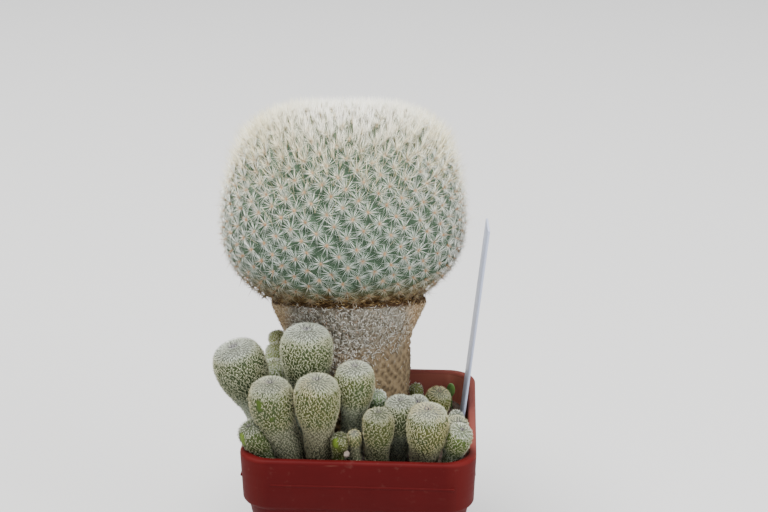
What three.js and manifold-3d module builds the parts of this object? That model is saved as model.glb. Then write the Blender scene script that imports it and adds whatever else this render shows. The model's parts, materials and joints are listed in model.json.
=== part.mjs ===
// A potted button cactus: a big star-spined head on a corky stem, with small offsets round it,
// in a square nursery pot with a blank label.
// Millimetres. The origin is the centre of the pot's underside, +Z is up, and -Y is the front.
import * as THREE from "three";
import { ConvexHull } from "three/addons/math/ConvexHull.js";
import { mergeVertices } from "three/addons/utils/BufferGeometryUtils.js";
import Module from "manifold-3d";

const wasm = await Module();
wasm.setup();

// Pot: half widths of its square rings, and their heights
const POT_HEIGHT = 64;
const POT_RIM_HALF = 35;
const POT_BASE_HALF = 25;
const COLLAR_FOOT = 48.7;
const COLLAR_DRAFT = 0.5;
const BODY_TOP_HALF = 33;
const BODY_TOP = 47.4;
const LIP_WIDTH = 2.4;
const INSIDE_TOP_HALF = 32.6;
const INSIDE_STEP_HALF = 31.4;
const FLOOR_HALF = 23.6;
const FLOOR_TOP = 2;
const RIM_CORNER = 7.5;
const BASE_CORNER = 6;
const CORNER_STEPS = 4;
const LEDGE_HEIGHT = 56;
const LEDGE_LENGTH = 54;
const LEDGE_SHIFT = 1.7;
const LEDGE_RISE = 0.35;
const DRAIN_RADIUS = 3;
const DRAIN_REACH = 13;

// Soil
const SOIL_TOP = 55.6;
const SOIL_GRAIN = 0.5;
const SIDE_GAP = 0.3;

// Every plant stands straight from its foot in the soil up to this height
const STEM_START = 57;
const STEM_FOOT = 36;
const OFFSET_FOOT = 46;

// Main stem and head
const STEM_ROOT = new THREE.Vector3(-4.9, 6, STEM_START);
const STEM_LOW_BEND = new THREE.Vector3(-4.6, 6, 66);
const STEM_HIGH_BEND = new THREE.Vector3(-5.4, 8.5, 79.4);
const NECK_CENTRE = new THREE.Vector3(-5.4, 13.5, 97.2);
const HEAD_SHIFT = new THREE.Vector3(-2, 0, 0);
const STEM_ROOT_RADIUS = 17.3;
const NECK_RADIUS = 23.2;
const NECK_SIDES = 24;
const STEM_SCARS = 96;
const SCAR_RISE = 0.6;
const HEAD_AREOLES = 204;
const STAR_RAYS = 8;
const RAY_LENGTH = 4.5;
const RAY_LIFT = 2.3;
const CROWN_RAY_LENGTH = 2.8;
const CROWN_RAY_LIFT = 4.8;
const TUBERCLE_RADIUS = 1.25;
const TUBERCLE_RISE = 1;
const VALLEY_DEPTH = 0.5;
const END_SHARE = 0.022;

// Offsets: name, root x and y, head centre x, y and z, head radius, neck radius, tubercles
const OFFSETS = [
  ["offset_left_outer", -26, -9.5, -36.1, -14, 85, 8.2, 4.4, 88],
  ["offset_left_tall", -16.5, -13.2, -15.7, -17, 91.9, 8, 4.6, 96],
  ["offset_left_front", -20.6, -21, -25.2, -27, 80.1, 6.8, 5.2, 74],
  ["offset_middle_front", -11.5, -22.2, -11.7, -28, 81.8, 6.9, 4.7, 74],
  ["offset_middle_tall", -2.5, -16.5, -1.2, -21, 83.8, 6.1, 3.9, 66],
  ["offset_right_slim", 5.2, -23.5, 6.2, -28, 73.5, 4.9, 3.7, 44],
  ["offset_right_inner", 11.3, -17, 12.4, -23, 75, 5.2, 3.5, 44],
  ["offset_right_behind", 15.8, -9.5, 17, -15, 72.6, 4.2, 3.2, 36],
  ["offset_right_large", 19.2, -21, 20.5, -27, 73.3, 6.4, 4.6, 58],
  ["offset_corner_right", 27.2, -24, 29.6, -26.5, 69, 4.3, 3, 36],
  ["offset_right_edge", 27.2, -14.5, 28.9, -18, 67.7, 4, 2.9, 28],
  ["offset_right_grey", 27.2, -6, 28.8, -7, 66, 2.6, 2, 14],
  ["offset_back_right", 22, 4.5, 23, 3, 67.3, 4.3, 3.2, 32],
  ["offset_back_green", 16.2, 20, 15.7, 19.5, 62.8, 2.7, 1.9, 14],
  ["offset_corner_left", -27.2, -24.5, -30.5, -26.8, 68.4, 4.9, 3.3, 36],
  ["offset_front_green", -6, -26.8, -5, -29, 68, 3, 2.2, 18],
  ["offset_front_pale", -0.6, -27, -0.8, -29, 69.5, 2.4, 1.8, 14],
  ["offset_by_stem", 5, -14.8, 5.2, -16, 76, 3, 2.2, 18],
  ["offset_back_olive", -26.5, 22.5, -29.8, 24, 78.2, 3.2, 2.8, 26],
  ["offset_back_pale", -27, 13.2, -28.5, 14, 77, 4.2, 2.9, 36],
  ["offset_back_low", -27.2, 3.8, -28, 2, 76.5, 4, 2.9, 34],
  ["offset_hidden_left", -14, 26.4, -15, 29, 71, 4.2, 2.9, 28],
  ["offset_hidden_middle", 3, 27, 3.5, 30.5, 73, 4.4, 3, 30],
];
const OFFSET_RISE = 0.55;
const OFFSET_TAPER = 1.8;
const OFFSET_FOOT_SHARE = 0.84;
const OFFSET_FOOT_SIDES = 8;

// An offset's two bends: shares of its way up, and of its way out to its head
const BEND_HEIGHTS = [0.23, 0.57];
const UPRIGHT = [0, 0.88];
const LEANING = [0, 0.33];
const SWEPT_OUT = [0.36, 0.68];
const OFFSET_BENDS = {
  offset_left_outer: SWEPT_OUT,
  offset_left_tall: UPRIGHT,
  offset_left_front: UPRIGHT,
  offset_middle_front: UPRIGHT,
  offset_middle_tall: UPRIGHT,
  offset_right_slim: UPRIGHT,
  offset_right_inner: UPRIGHT,
  offset_right_large: UPRIGHT,
};

// Label, and the seedling beside it
const LABEL_WIDTH = 13;
const LABEL_THICKNESS = 0.7;
const LABEL_TOP = 67.5;
const LABEL_BURIED = 19;
const LABEL_POINT = 7;
const LABEL_FOOT = new THREE.Vector3(30.4, 9, 56);
const LABEL_LEAN = THREE.MathUtils.degToRad(6.05);
const LABEL_TURN = THREE.MathUtils.degToRad(-2);
const SPROUT_ROOT = new THREE.Vector3(27, 22, 51);
const SPROUT_HEIGHT = 14.5;

const TURN = 2 * Math.PI;
const GOLDEN_ANGLE = Math.PI * (3 - Math.sqrt(5));
const UP = new THREE.Vector3(0, 0, 1);

const COLOURS = {
  pot: 0x6b2018,
  soil: 0x4a3a30,
  label: 0xe9ecf0,
  stem: 0x9a876c,
  head: 0xa9bda0,
  offset: 0x93a376,
  green: 0x7f9d4e,
  pale: 0xb4bda4,
  sprout: 0x5d9136,
};

// A repeatable draw of numbers from 0 to 1.
function drawsFrom(seed) {
  let state = seed;
  return () => {
    state = (state + 0x6d2b79f5) | 0;
    let t = Math.imul(state ^ (state >>> 15), 1 | state);
    t = (t + Math.imul(t ^ (t >>> 7), 61 | t)) ^ t;
    return ((t ^ (t >>> 14)) >>> 0) / 4294967296;
  };
}

function geometryOf(points, faces) {
  const geometry = new THREE.BufferGeometry().setFromPoints(points);
  geometry.setIndex(faces.flat());
  return geometry;
}

function meshOf(name, geometry, colour) {
  const flat = geometry.index ? geometry.toNonIndexed() : geometry;
  flat.computeVertexNormals();
  const material = new THREE.MeshStandardMaterial({ color: colour, roughness: 0.7 });
  const mesh = new THREE.Mesh(flat, material);
  mesh.name = name;
  return mesh;
}

// Joining and cutting of closed solids

function solidOf(geometry) {
  const bare = geometry.clone();
  bare.deleteAttribute("normal");
  bare.deleteAttribute("uv");
  const merged = mergeVertices(bare, 1e-4);
  return new wasm.Manifold(
    new wasm.Mesh({
      numProp: 3,
      vertProperties: merged.attributes.position.array,
      triVerts: new Uint32Array(merged.index.array),
    }),
  );
}

function geometryFrom(solid) {
  const mesh = solid.getMesh();
  const geometry = new THREE.BufferGeometry();
  geometry.setAttribute("position", new THREE.BufferAttribute(mesh.vertProperties, 3));
  geometry.setIndex(new THREE.BufferAttribute(mesh.triVerts, 1));
  return geometry;
}

function cutAway(geometry, cutters) {
  const body = solidOf(geometry);
  const holes = wasm.Manifold.union(cutters.map(solidOf));
  return geometryFrom(body.subtract(holes));
}

// Closed bodies built from rings of points

// Points round a square with rounded corners, anticlockwise from above.
function squareRing(half, corner, z) {
  const ring = [];
  const inner = half - corner;
  for (let side = 0; side < 4; side++) {
    const start = (side * Math.PI) / 2;
    const middle = start + Math.PI / 4;
    const cx = Math.sign(Math.cos(middle)) * inner;
    const cy = Math.sign(Math.sin(middle)) * inner;
    for (let i = 0; i <= CORNER_STEPS; i++) {
      const angle = start + (i / CORNER_STEPS) * (Math.PI / 2);
      ring.push(new THREE.Vector3(cx + corner * Math.cos(angle), cy + corner * Math.sin(angle), z));
    }
  }
  return ring;
}

function circleRing(centre, radius, sides, z) {
  const ring = [];
  for (let i = 0; i < sides; i++) {
    const angle = (i / sides) * TURN;
    ring.push(
      new THREE.Vector3(centre.x + radius * Math.cos(angle), centre.y + radius * Math.sin(angle), z),
    );
  }
  return ring;
}

function fanFaces(first, count, apex, upwards) {
  const faces = [];
  for (let i = 0; i < count; i++) {
    const here = first + i;
    const next = first + ((i + 1) % count);
    faces.push(upwards ? [here, next, apex] : [next, here, apex]);
  }
  return faces;
}

function bandFaces(lower, upper, count) {
  const faces = [];
  for (let i = 0; i < count; i++) {
    const j = (i + 1) % count;
    faces.push([lower + i, lower + j, upper + j], [lower + i, upper + j, upper + i]);
  }
  return faces;
}

function middleOf(ring) {
  const sum = new THREE.Vector3();
  ring.forEach((point) => sum.add(point));
  return sum.divideScalar(ring.length);
}

// Rings joined in order, with the first closed off below and the last above.
function loft(rings) {
  const count = rings[0].length;
  const points = rings.flat();
  const faces = [];
  for (let i = 1; i < rings.length; i++) {
    faces.push(...bandFaces((i - 1) * count, i * count, count));
  }
  const below = points.push(middleOf(rings[0])) - 1;
  const above = points.push(middleOf(rings.at(-1))) - 1;
  faces.push(...fanFaces(0, count, below, false));
  faces.push(...fanFaces((rings.length - 1) * count, count, above, true));
  return geometryOf(points, faces);
}

// Pot

function insideHalf(z) {
  if (z > BODY_TOP) {
    const share = (z - BODY_TOP) / (POT_HEIGHT - BODY_TOP);
    return THREE.MathUtils.lerp(INSIDE_STEP_HALF, INSIDE_TOP_HALF, share);
  }
  const share = (z - FLOOR_TOP) / (BODY_TOP - FLOOR_TOP);
  return THREE.MathUtils.lerp(FLOOR_HALF, INSIDE_STEP_HALF, share);
}

function cornerAt(z) {
  return THREE.MathUtils.lerp(BASE_CORNER, RIM_CORNER, z / POT_HEIGHT);
}

function insideRing(z, gap) {
  return squareRing(insideHalf(z) - gap, cornerAt(z) - 1.6 - gap, z);
}

function potShell() {
  const collarHalf = POT_RIM_HALF - COLLAR_DRAFT;
  const outside = [
    [POT_BASE_HALF - 0.8, 0],
    [POT_BASE_HALF, 0.8],
    [BODY_TOP_HALF, BODY_TOP - 0.3],
    [BODY_TOP_HALF + 0.9, BODY_TOP + 0.3],
    [collarHalf - 0.3, COLLAR_FOOT - 0.5],
    [collarHalf, COLLAR_FOOT],
    [POT_RIM_HALF, POT_HEIGHT - 0.8],
    [POT_RIM_HALF - 0.7, POT_HEIGHT],
    [POT_RIM_HALF - LIP_WIDTH + 0.5, POT_HEIGHT],
  ];
  const rings = outside.map(([half, z]) => squareRing(half, cornerAt(z), z));
  rings.push(insideRing(POT_HEIGHT - 0.8, 0));
  rings.push(insideRing(BODY_TOP, 0));
  rings.push(insideRing(FLOOR_TOP, 0));
  return loft(rings);
}

// The thin moulded ledge across the flat of each side of the collar.
function collarLedges() {
  const share = (LEDGE_HEIGHT - COLLAR_FOOT) / (POT_HEIGHT - COLLAR_FOOT);
  const wall = POT_RIM_HALF - COLLAR_DRAFT * (1 - share);
  const shape = new THREE.Shape();
  shape.moveTo(-0.6, -0.5);
  shape.lineTo(LEDGE_RISE, -0.25);
  shape.lineTo(LEDGE_RISE, 0.1);
  shape.lineTo(-0.6, 0.9);
  const bar = new THREE.ExtrudeGeometry(shape, { depth: LEDGE_LENGTH, bevelEnabled: false });
  bar.translate(0, 0, -LEDGE_LENGTH / 2 - LEDGE_SHIFT);
  bar.rotateX(Math.PI / 2);
  bar.translate(wall, 0, LEDGE_HEIGHT);
  return [0, 1, 2, 3].map((side) => bar.clone().rotateZ((side * Math.PI) / 2));
}

function drainHoles() {
  return [0, 1, 2, 3].map((side) => {
    const angle = (side * Math.PI) / 2 + Math.PI / 4;
    const centre = {
      x: DRAIN_REACH * Math.cos(angle),
      y: DRAIN_REACH * Math.sin(angle),
    };
    return loft([
      circleRing(centre, DRAIN_RADIUS, 10, -1),
      circleRing(centre, DRAIN_RADIUS, 10, FLOOR_TOP + 1),
    ]);
  });
}

function pot() {
  const ledged = wasm.Manifold.union([potShell(), ...collarLedges()].map(solidOf));
  return meshOf("pot", cutAway(geometryFrom(ledged), drainHoles()), COLOURS.pot);
}

// Axes of stems

// A stem's centre line: straight up from its foot to the root, then curving to its head.
// at(h) gives the point h millimetres along it from the root, and three directions there.
function stemLine(root, lowBend, highBend, centre) {
  const curve = new THREE.CubicBezierCurve3(root, lowBend, highBend, centre);
  const length = curve.getLength();
  const lean = new THREE.Vector3(centre.x - root.x, centre.y - root.y, 0).normalize();
  const side = new THREE.Vector3().crossVectors(UP, lean);
  function at(h) {
    const share = THREE.MathUtils.clamp(h / length, 0, 1);
    const along = curve.getTangentAt(share);
    const point = curve.getPointAt(share).addScaledVector(along, h - share * length);
    const across = new THREE.Vector3().crossVectors(side, along).normalize();
    return { point, along, across, side };
  }
  return { length, at };
}

function shiftedLine(line, shift) {
  function at(h) {
    const place = line.at(h);
    return { ...place, point: place.point.add(shift) };
  }
  return { length: line.length, at };
}

function placeOn(line, radius, h, angle) {
  const { point, across, side } = line.at(h);
  return point
    .clone()
    .addScaledVector(across, radius * Math.cos(angle))
    .addScaledVector(side, radius * Math.sin(angle));
}

// Skins of plants

// The outline of a round body: radius against distance along its axis, foot first.
function outlineOf(pairs) {
  const curve = new THREE.SplineCurve(pairs.map(([r, h]) => new THREE.Vector2(r, h)));
  const points = curve.getSpacedPoints(300);
  points.forEach((point) => {
    point.x = Math.max(point.x, 1e-3);
  });
  const samples = [{ r: points[0].x, h: points[0].y, area: 0, reach: 0 }];
  for (let i = 1; i < points.length; i++) {
    const last = samples[i - 1];
    const step = points[i].distanceTo(points[i - 1]);
    const radius = (points[i].x + points[i - 1].x) / 2;
    samples.push({
      r: points[i].x,
      h: points[i].y,
      area: last.area + step * radius,
      reach: last.reach + step / radius,
    });
  }
  return samples;
}

// The point of an outline below which lies a share of its area, with its outward slope.
function atShare(outline, share) {
  const area = share * outline.at(-1).area;
  let i = outline.findIndex((sample) => sample.area >= area);
  i = Math.max(i, 1);
  const [a, b] = [outline[i - 1], outline[i]];
  const t = (area - a.area) / (b.area - a.area);
  const slope = new THREE.Vector2(b.h - a.h, a.r - b.r).normalize();
  return {
    r: THREE.MathUtils.lerp(a.r, b.r, t),
    h: THREE.MathUtils.lerp(a.h, b.h, t),
    reach: THREE.MathUtils.lerp(a.reach, b.reach, t),
    out: slope,
  };
}

// Where a point of the skin would fall on a ball, with angles between neighbours kept.
function onBall(place, middle) {
  const polar = 2 * Math.atan(Math.exp(middle - place.reach));
  return new THREE.Vector3(
    Math.sin(polar) * Math.cos(place.angle),
    Math.sin(polar) * Math.sin(place.angle),
    Math.cos(polar),
  );
}

// Areoles in a golden-angle spiral, evenly over the skin, and the triangles between them.
// Rings of points close the skin at its foot and, if it has one, at its flat top.
function spiralNet(outline, count, footSides, topSides) {
  const places = [];
  const span = [outline[0].h + 0.15, topSides ? outline.at(-1).h - 0.15 : Infinity];
  const last = topSides ? 1 - END_SHARE : 1;
  for (let k = 0; k < count; k++) {
    const place = atShare(outline, THREE.MathUtils.lerp(END_SHARE, last, (k + 0.5) / count));
    places.push({ ...place, angle: k * GOLDEN_ANGLE, kind: "areole", span });
  }
  const ends = [
    ["foot", footSides, outline[0]],
    ["top", topSides, outline.at(-1)],
  ];
  for (const [kind, sides, end] of ends) {
    for (let i = 0; i < sides; i++) {
      const out = new THREE.Vector2(1, 0);
      places.push({ ...end, angle: (i / sides) * TURN, out, kind, span });
    }
  }
  const middle = atShare(outline, 0.5).reach;
  const balls = places.map((place) => onBall(place, middle));
  const index = new Map(balls.map((ball, i) => [ball, i]));
  const triangles = [];
  for (const face of new ConvexHull().setFromPoints(balls).faces) {
    const corners = [0, 1, 2].map((i) => index.get(face.getEdge(i).head().point));
    const kinds = new Set(corners.map((i) => places[i].kind));
    if (kinds.size > 1 || kinds.has("areole")) triangles.push(corners);
  }
  return { places, triangles };
}

function between(places, corners) {
  const sum = { r: 0, h: 0, x: 0, y: 0, out: new THREE.Vector2() };
  for (const i of corners) {
    const place = places[i];
    sum.h += place.h / 3;
    sum.x += (place.r * Math.cos(place.angle)) / 3;
    sum.y += (place.r * Math.sin(place.angle)) / 3;
    sum.r += place.r / 3;
    sum.out.add(place.out);
  }
  return {
    h: sum.h,
    r: THREE.MathUtils.lerp(Math.hypot(sum.x, sum.y), sum.r, 0.7),
    angle: Math.atan2(sum.y, sum.x),
    out: sum.out.normalize(),
    span: places[corners[0]].span,
  };
}

// The point that lies off the skin by a rise, but never past the plant's own flat ends.
function lifted(line, place, rise) {
  let h = place.h + place.out.y * rise;
  if (rise !== 0) h = THREE.MathUtils.clamp(h, ...place.span);
  return placeOn(line, place.r + place.out.x * rise, h, place.angle);
}

// Each edge of the net, with the valley points on both of its sides.
function edgesOf(net) {
  const owner = new Map();
  net.triangles.forEach((corners, t) => {
    corners.forEach((a, i) => owner.set(a + "," + corners[(i + 1) % 3], t));
  });
  const edges = [];
  net.triangles.forEach((corners, t) => {
    corners.forEach((a, i) => {
      const b = corners[(i + 1) % 3];
      edges.push({ a, b, left: t, right: owner.get(b + "," + a) });
    });
  });
  return edges;
}

function endRing(net, kind) {
  return net.places.map((place, i) => (place.kind === kind ? i : -1)).filter((i) => i >= 0);
}

// A skin whose areoles stand up as pointed tubercles, closed flat at its foot and top.
function tubercleSkin(line, net, rise, foot) {
  const points = net.places.map((place) => lifted(line, place, place.kind === "areole" ? rise : 0));
  const valleys = net.triangles.map((corners) => {
    return points.push(lifted(line, between(net.places, corners), -rise / 2)) - 1;
  });
  const faces = [];
  for (const { a, b, left, right } of edgesOf(net)) {
    if (right === undefined) faces.push([a, b, valleys[left]]);
    else faces.push([a, valleys[right], valleys[left]]);
  }
  closeEnds(points, faces, net, line, foot);
  return { points, faces };
}

// The foot goes straight down into the soil, and a flat top is closed with a disc.
function closeEnds(points, faces, net, line, foot) {
  const ring = endRing(net, "foot");
  if (foot === undefined) {
    const centre = points.push(line.at(net.places[ring[0]].h).point) - 1;
    faces.push(...fanFaces(ring[0], ring.length, centre, false));
  } else {
    const sunk = ring.map((i) => points.push(points[i].clone().setZ(foot)) - 1);
    faces.push(...bandFaces(sunk[0], ring[0], ring.length));
    const centre = points.push(middleOf(sunk.map((i) => points[i]))) - 1;
    faces.push(...fanFaces(sunk[0], ring.length, centre, false));
  }
  const top = endRing(net, "top");
  if (top.length) {
    const centre = points.push(line.at(net.places[top[0]].h).point) - 1;
    faces.push(...fanFaces(top[0], top.length, centre, true));
  }
}

// The line of the main plant: its stem curves to the neck, and its head goes straight on,
// a little off the middle of the neck.
const mainLine = stemLine(STEM_ROOT, STEM_LOW_BEND, STEM_HIGH_BEND, NECK_CENTRE);
const headLine = shiftedLine(mainLine, HEAD_SHIFT);

function stemOutline() {
  const top = mainLine.length;
  return outlineOf([
    [STEM_ROOT_RADIUS, 0],
    [18.2, top - 32],
    [19, top - 22],
    [19.2, top - 15],
    [19.6, top - 11],
    [21.2, top - 8],
    [23, top - 5],
    [24.3, top - 2.8],
    [24.3, top - 1],
    [NECK_RADIUS, top],
  ]);
}

function mainStem() {
  const net = spiralNet(stemOutline(), STEM_SCARS, NECK_SIDES, NECK_SIDES);
  const { points, faces } = tubercleSkin(mainLine, net, SCAR_RISE, STEM_FOOT);
  return meshOf("main_stem", geometryOf(points, faces), COLOURS.stem);
}

function headOutline() {
  const pairs = [
    [NECK_RADIUS, SIDE_GAP],
    [26.4, 3],
    [30.8, 7],
    [34.5, 12],
    [36.7, 17.5],
    [37.3, 23.5],
    [36.8, 30],
    [35.3, 37],
    [32.8, 43.6],
    [29.6, 49.2],
    [25.3, 53.4],
    [19.5, 56.2],
    [12, 57.4],
    [5, 57.2],
    [0, 56.8],
  ];
  return outlineOf(pairs.map(([r, h]) => [r, h + headLine.length]));
}

// The directions at a place of the skin: outwards, up towards the crown, and sideways.
function skinFrame(line, place) {
  const { along, across, side } = line.at(place.h);
  const radial = across.clone().multiplyScalar(Math.cos(place.angle));
  radial.addScaledVector(side, Math.sin(place.angle));
  const out = radial.clone().multiplyScalar(place.out.x).addScaledVector(along, place.out.y);
  const upward = along.clone().multiplyScalar(place.out.x).addScaledVector(radial, -place.out.y);
  return { out, upward, sideways: new THREE.Vector3().crossVectors(upward, out).negate() };
}

// How far a ray can reach in a direction before it is halfway to another areole.
function freeReach(centre, direction, others, wanted) {
  let reach = wanted;
  const offset = new THREE.Vector3();
  for (const other of others) {
    offset.subVectors(other, centre);
    const ahead = offset.dot(direction);
    if (ahead > 1e-6) reach = Math.min(reach, (0.47 * offset.lengthSq()) / ahead);
  }
  return reach;
}

// A tip that hangs below the neck stays outside the stem.
function clearOfNeck(tip) {
  const { point: centre, along } = mainLine.at(mainLine.length);
  const arm = tip.clone().sub(centre);
  const height = arm.dot(along);
  if (height > 1.2) return tip;
  arm.addScaledVector(along, -height);
  arm.setLength(Math.max(arm.length(), NECK_RADIUS + 3.2));
  return arm.addScaledVector(along, height).add(centre);
}

// One star of rays on its tubercle. It joins the valley points round it, given in order.
function addStar(points, faces, valleys, place, neighbours, draw) {
  const { out, upward, sideways } = skinFrame(headLine, place);
  const centre = lifted(headLine, place, 0);
  const crown = THREE.MathUtils.smoothstep(place.h - headLine.length, 46, 57);
  const length = THREE.MathUtils.lerp(RAY_LENGTH, CROWN_RAY_LENGTH, crown);
  const lift = THREE.MathUtils.lerp(RAY_LIFT, CROWN_RAY_LIFT, crown);
  const start = draw() * TURN;
  const towards = (angle) => {
    return upward.clone().multiplyScalar(Math.cos(angle)).addScaledVector(sideways, Math.sin(angle));
  };
  const neck = [];
  const tips = [];
  for (let i = 0; i < STAR_RAYS; i++) {
    const angle = start + (i / STAR_RAYS) * TURN;
    const root = centre.clone().addScaledVector(towards(angle), TUBERCLE_RADIUS);
    neck.push(points.push(root.addScaledVector(out, TUBERCLE_RISE)) - 1);
    const aim = towards(angle + Math.PI / STAR_RAYS + (draw() - 0.5) * 0.25);
    const reach = freeReach(centre, aim, neighbours, length * (0.88 + 0.2 * draw()));
    const rise = lift * (0.85 + 0.3 * draw());
    const tip = centre.clone().addScaledVector(aim, reach).addScaledVector(out, rise);
    tips.push(points.push(clearOfNeck(tip)) - 1);
  }
  const middle = points.push(centre.clone().addScaledVector(out, TUBERCLE_RISE + 0.6)) - 1;
  for (let i = 0; i < STAR_RAYS; i++) {
    const j = (i + 1) % STAR_RAYS;
    faces.push([neck[i], neck[j], tips[i]]);
    faces.push([middle, neck[i], tips[i]], [middle, tips[i], neck[j]]);
  }
  stitch(points, faces, valleys, neck, { centre, upward, sideways });
}

// Triangles between an outer and an inner loop of points, both anticlockwise round a centre.
function stitch(points, faces, outer, inner, { centre, upward, sideways }) {
  const angleOf = (i) => {
    const arm = points[i].clone().sub(centre);
    return Math.atan2(arm.dot(sideways), arm.dot(upward));
  };
  const inOrder = (loop) => [...loop].sort((i, j) => angleOf(i) - angleOf(j));
  const [far, near] = [inOrder(outer), inOrder(inner)];
  const angle = (loop, i) => angleOf(loop[i % loop.length]) + TURN * Math.floor(i / loop.length);
  let [i, j] = [0, 0];
  while (i < far.length || j < near.length) {
    const farNext = angle(far, i + 1) - angle(near, j);
    const nearNext = angle(near, j + 1) - angle(far, i);
    const stepFar = j === near.length || (i < far.length && farNext < nearNext);
    const here = [far[i % far.length], near[j % near.length]];
    if (stepFar) faces.push([here[0], far[(i + 1) % far.length], here[1]]);
    else faces.push([here[0], near[(j + 1) % near.length], here[1]]);
    if (stepFar) i++;
    else j++;
  }
}

function mainHead() {
  const draw = drawsFrom(11);
  const net = spiralNet(headOutline(), HEAD_AREOLES, NECK_SIDES, 0);
  const points = net.places.map((place) => lifted(headLine, place, 0));
  const areoles = points.filter((point, i) => net.places[i].kind === "areole");
  const valleys = net.triangles.map((corners) => {
    return points.push(lifted(headLine, between(net.places, corners), -VALLEY_DEPTH)) - 1;
  });
  const faces = [];
  const round = net.places.map(() => new Set());
  for (const { a, b, left, right } of edgesOf(net)) {
    if (net.places[a].kind === "areole") {
      round[a].add(valleys[left]).add(valleys[right]);
    } else if (right === undefined) {
      faces.push([a, b, valleys[left]]);
    } else {
      faces.push([a, valleys[right], valleys[left]]);
    }
  }
  closeEnds(points, faces, net, headLine, undefined);
  net.places.forEach((place, i) => {
    if (place.kind !== "areole") return;
    const others = areoles.filter((other) => other !== points[i]);
    addStar(points, faces, [...round[i]], place, others, draw);
  });
  return meshOf("main_head", geometryOf(points, faces), COLOURS.head);
}

// Offsets

// A plant bends at two heights on its way out to its head. The further out it is by the
// second, the more upright its head stands.
function offsetLine([name, rootX, rootY, x, y, z]) {
  const root = new THREE.Vector3(rootX, rootY, STEM_START);
  const centre = new THREE.Vector3(x, y, z);
  const bends = (OFFSET_BENDS[name] ?? LEANING).map((share, i) => {
    const bend = root.clone().lerp(centre, share);
    return bend.setZ(THREE.MathUtils.lerp(STEM_START, z, BEND_HEIGHTS[i]));
  });
  return stemLine(root, ...bends, centre);
}

// A club: a neck that swells to a round head with a dimple in its crown.
function clubOutline(length, radius, neck) {
  const swell = Math.max(length - OFFSET_TAPER * radius, 0.15 * length);
  return outlineOf([
    [neck * OFFSET_FOOT_SHARE, 0],
    [neck, swell * 0.5],
    [neck * 1.02, swell],
    [THREE.MathUtils.lerp(neck, radius, 0.42), length - 1.2 * radius],
    [THREE.MathUtils.lerp(neck, radius, 0.86), length - 0.6 * radius],
    [radius, length - 0.05 * radius],
    [radius * 0.95, length + 0.35 * radius],
    [radius * 0.74, length + 0.7 * radius],
    [radius * 0.42, length + 0.87 * radius],
    [radius * 0.16, length + 0.84 * radius],
    [0, length + 0.76 * radius],
  ]);
}

// Balls along a stem that stand for its body when plants are kept apart.
function ballsAlong(line, outline) {
  return outline.filter((sample, i) => i % 12 === 0).map((sample) => {
    return { centre: line.at(sample.h).point, radius: sample.r };
  });
}

function clearance(balls, point) {
  let least = Infinity;
  for (const ball of balls) {
    least = Math.min(least, point.distanceTo(ball.centre) - ball.radius);
  }
  return least;
}

function insidePot(point) {
  if (point.z > POT_HEIGHT + 0.5) return true;
  const half = insideHalf(Math.min(point.z, POT_HEIGHT)) - 2 * SIDE_GAP;
  const corner = cornerAt(point.z) - 1.6;
  const x = Math.max(Math.abs(point.x) - half + corner, 0);
  const y = Math.max(Math.abs(point.y) - half + corner, 0);
  return Math.hypot(x, y) < corner;
}

// Points that would enter a neighbour or the pot are drawn in towards the plant's own middle.
function pressIn(points, line, own, others) {
  const near = others.filter((other) => {
    return points.some((point) => clearance(other, point) < 3);
  });
  const middle = own[Math.round(own.length * 0.75)].centre;
  for (const point of points) {
    if (point.z < STEM_START + 0.01) continue;
    const axisPoint = nearestOn(own, point);
    for (let tries = 0; tries < 40; tries++) {
      const mine = clearance(own, point);
      const free = near.every((other) => clearance(other, point) > mine + SIDE_GAP);
      if (free && insidePot(point)) break;
      point.lerp(tries < 20 ? axisPoint : middle, 0.06);
    }
  }
}

function nearestOn(balls, point) {
  let best = balls[0];
  for (const ball of balls) {
    if (point.distanceTo(ball.centre) < point.distanceTo(best.centre)) best = ball;
  }
  return best.centre;
}

function offsetColour(name) {
  if (/green|corner/.test(name)) return COLOURS.green;
  if (/pale|grey|low|by_stem/.test(name)) return COLOURS.pale;
  return COLOURS.offset;
}

function offsets() {
  const plants = OFFSETS.map((row) => {
    const line = offsetLine(row);
    const outline = clubOutline(line.length, row[6], row[7]);
    return { row, line, outline, balls: ballsAlong(line, outline) };
  });
  const stemBalls = ballsAlong(mainLine, stemOutline());
  return plants.map(({ row, line, outline, balls }) => {
    const net = spiralNet(outline, row[8], OFFSET_FOOT_SIDES, 0);
    const { points, faces } = tubercleSkin(line, net, OFFSET_RISE, OFFSET_FOOT);
    const others = plants.map((plant) => plant.balls).filter((other) => other !== balls);
    pressIn(points, line, balls, [stemBalls, ...others]);
    return meshOf(row[0], geometryOf(points, faces), offsetColour(row[0]));
  });
}

// Label and seedling

// A flat blank stake with rounded top corners and a point that goes into the soil.
function labelShape() {
  const half = LABEL_WIDTH / 2;
  const shape = new THREE.Shape();
  shape.moveTo(0, -LABEL_BURIED);
  shape.lineTo(half, LABEL_POINT - LABEL_BURIED);
  shape.lineTo(half, LABEL_TOP - 2);
  shape.absarc(half - 2, LABEL_TOP - 2, 2, 0, Math.PI / 2, false);
  shape.absarc(2 - half, LABEL_TOP - 2, 2, Math.PI / 2, Math.PI, false);
  shape.lineTo(-half, LABEL_POINT - LABEL_BURIED);
  shape.closePath();
  return shape;
}

function standLabel(geometry) {
  geometry.rotateX(Math.PI / 2);
  geometry.rotateZ(Math.PI / 2 - LABEL_TURN);
  geometry.rotateY(LABEL_LEAN);
  geometry.translate(LABEL_FOOT.x, LABEL_FOOT.y, LABEL_FOOT.z);
  return geometry;
}

function label() {
  const options = { depth: LABEL_THICKNESS, bevelEnabled: false, curveSegments: 4 };
  const plate = new THREE.ExtrudeGeometry(labelShape(), options);
  plate.translate(0, 0, -LABEL_THICKNESS / 2);
  return meshOf("plant_label", standLabel(plate), COLOURS.label);
}

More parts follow.
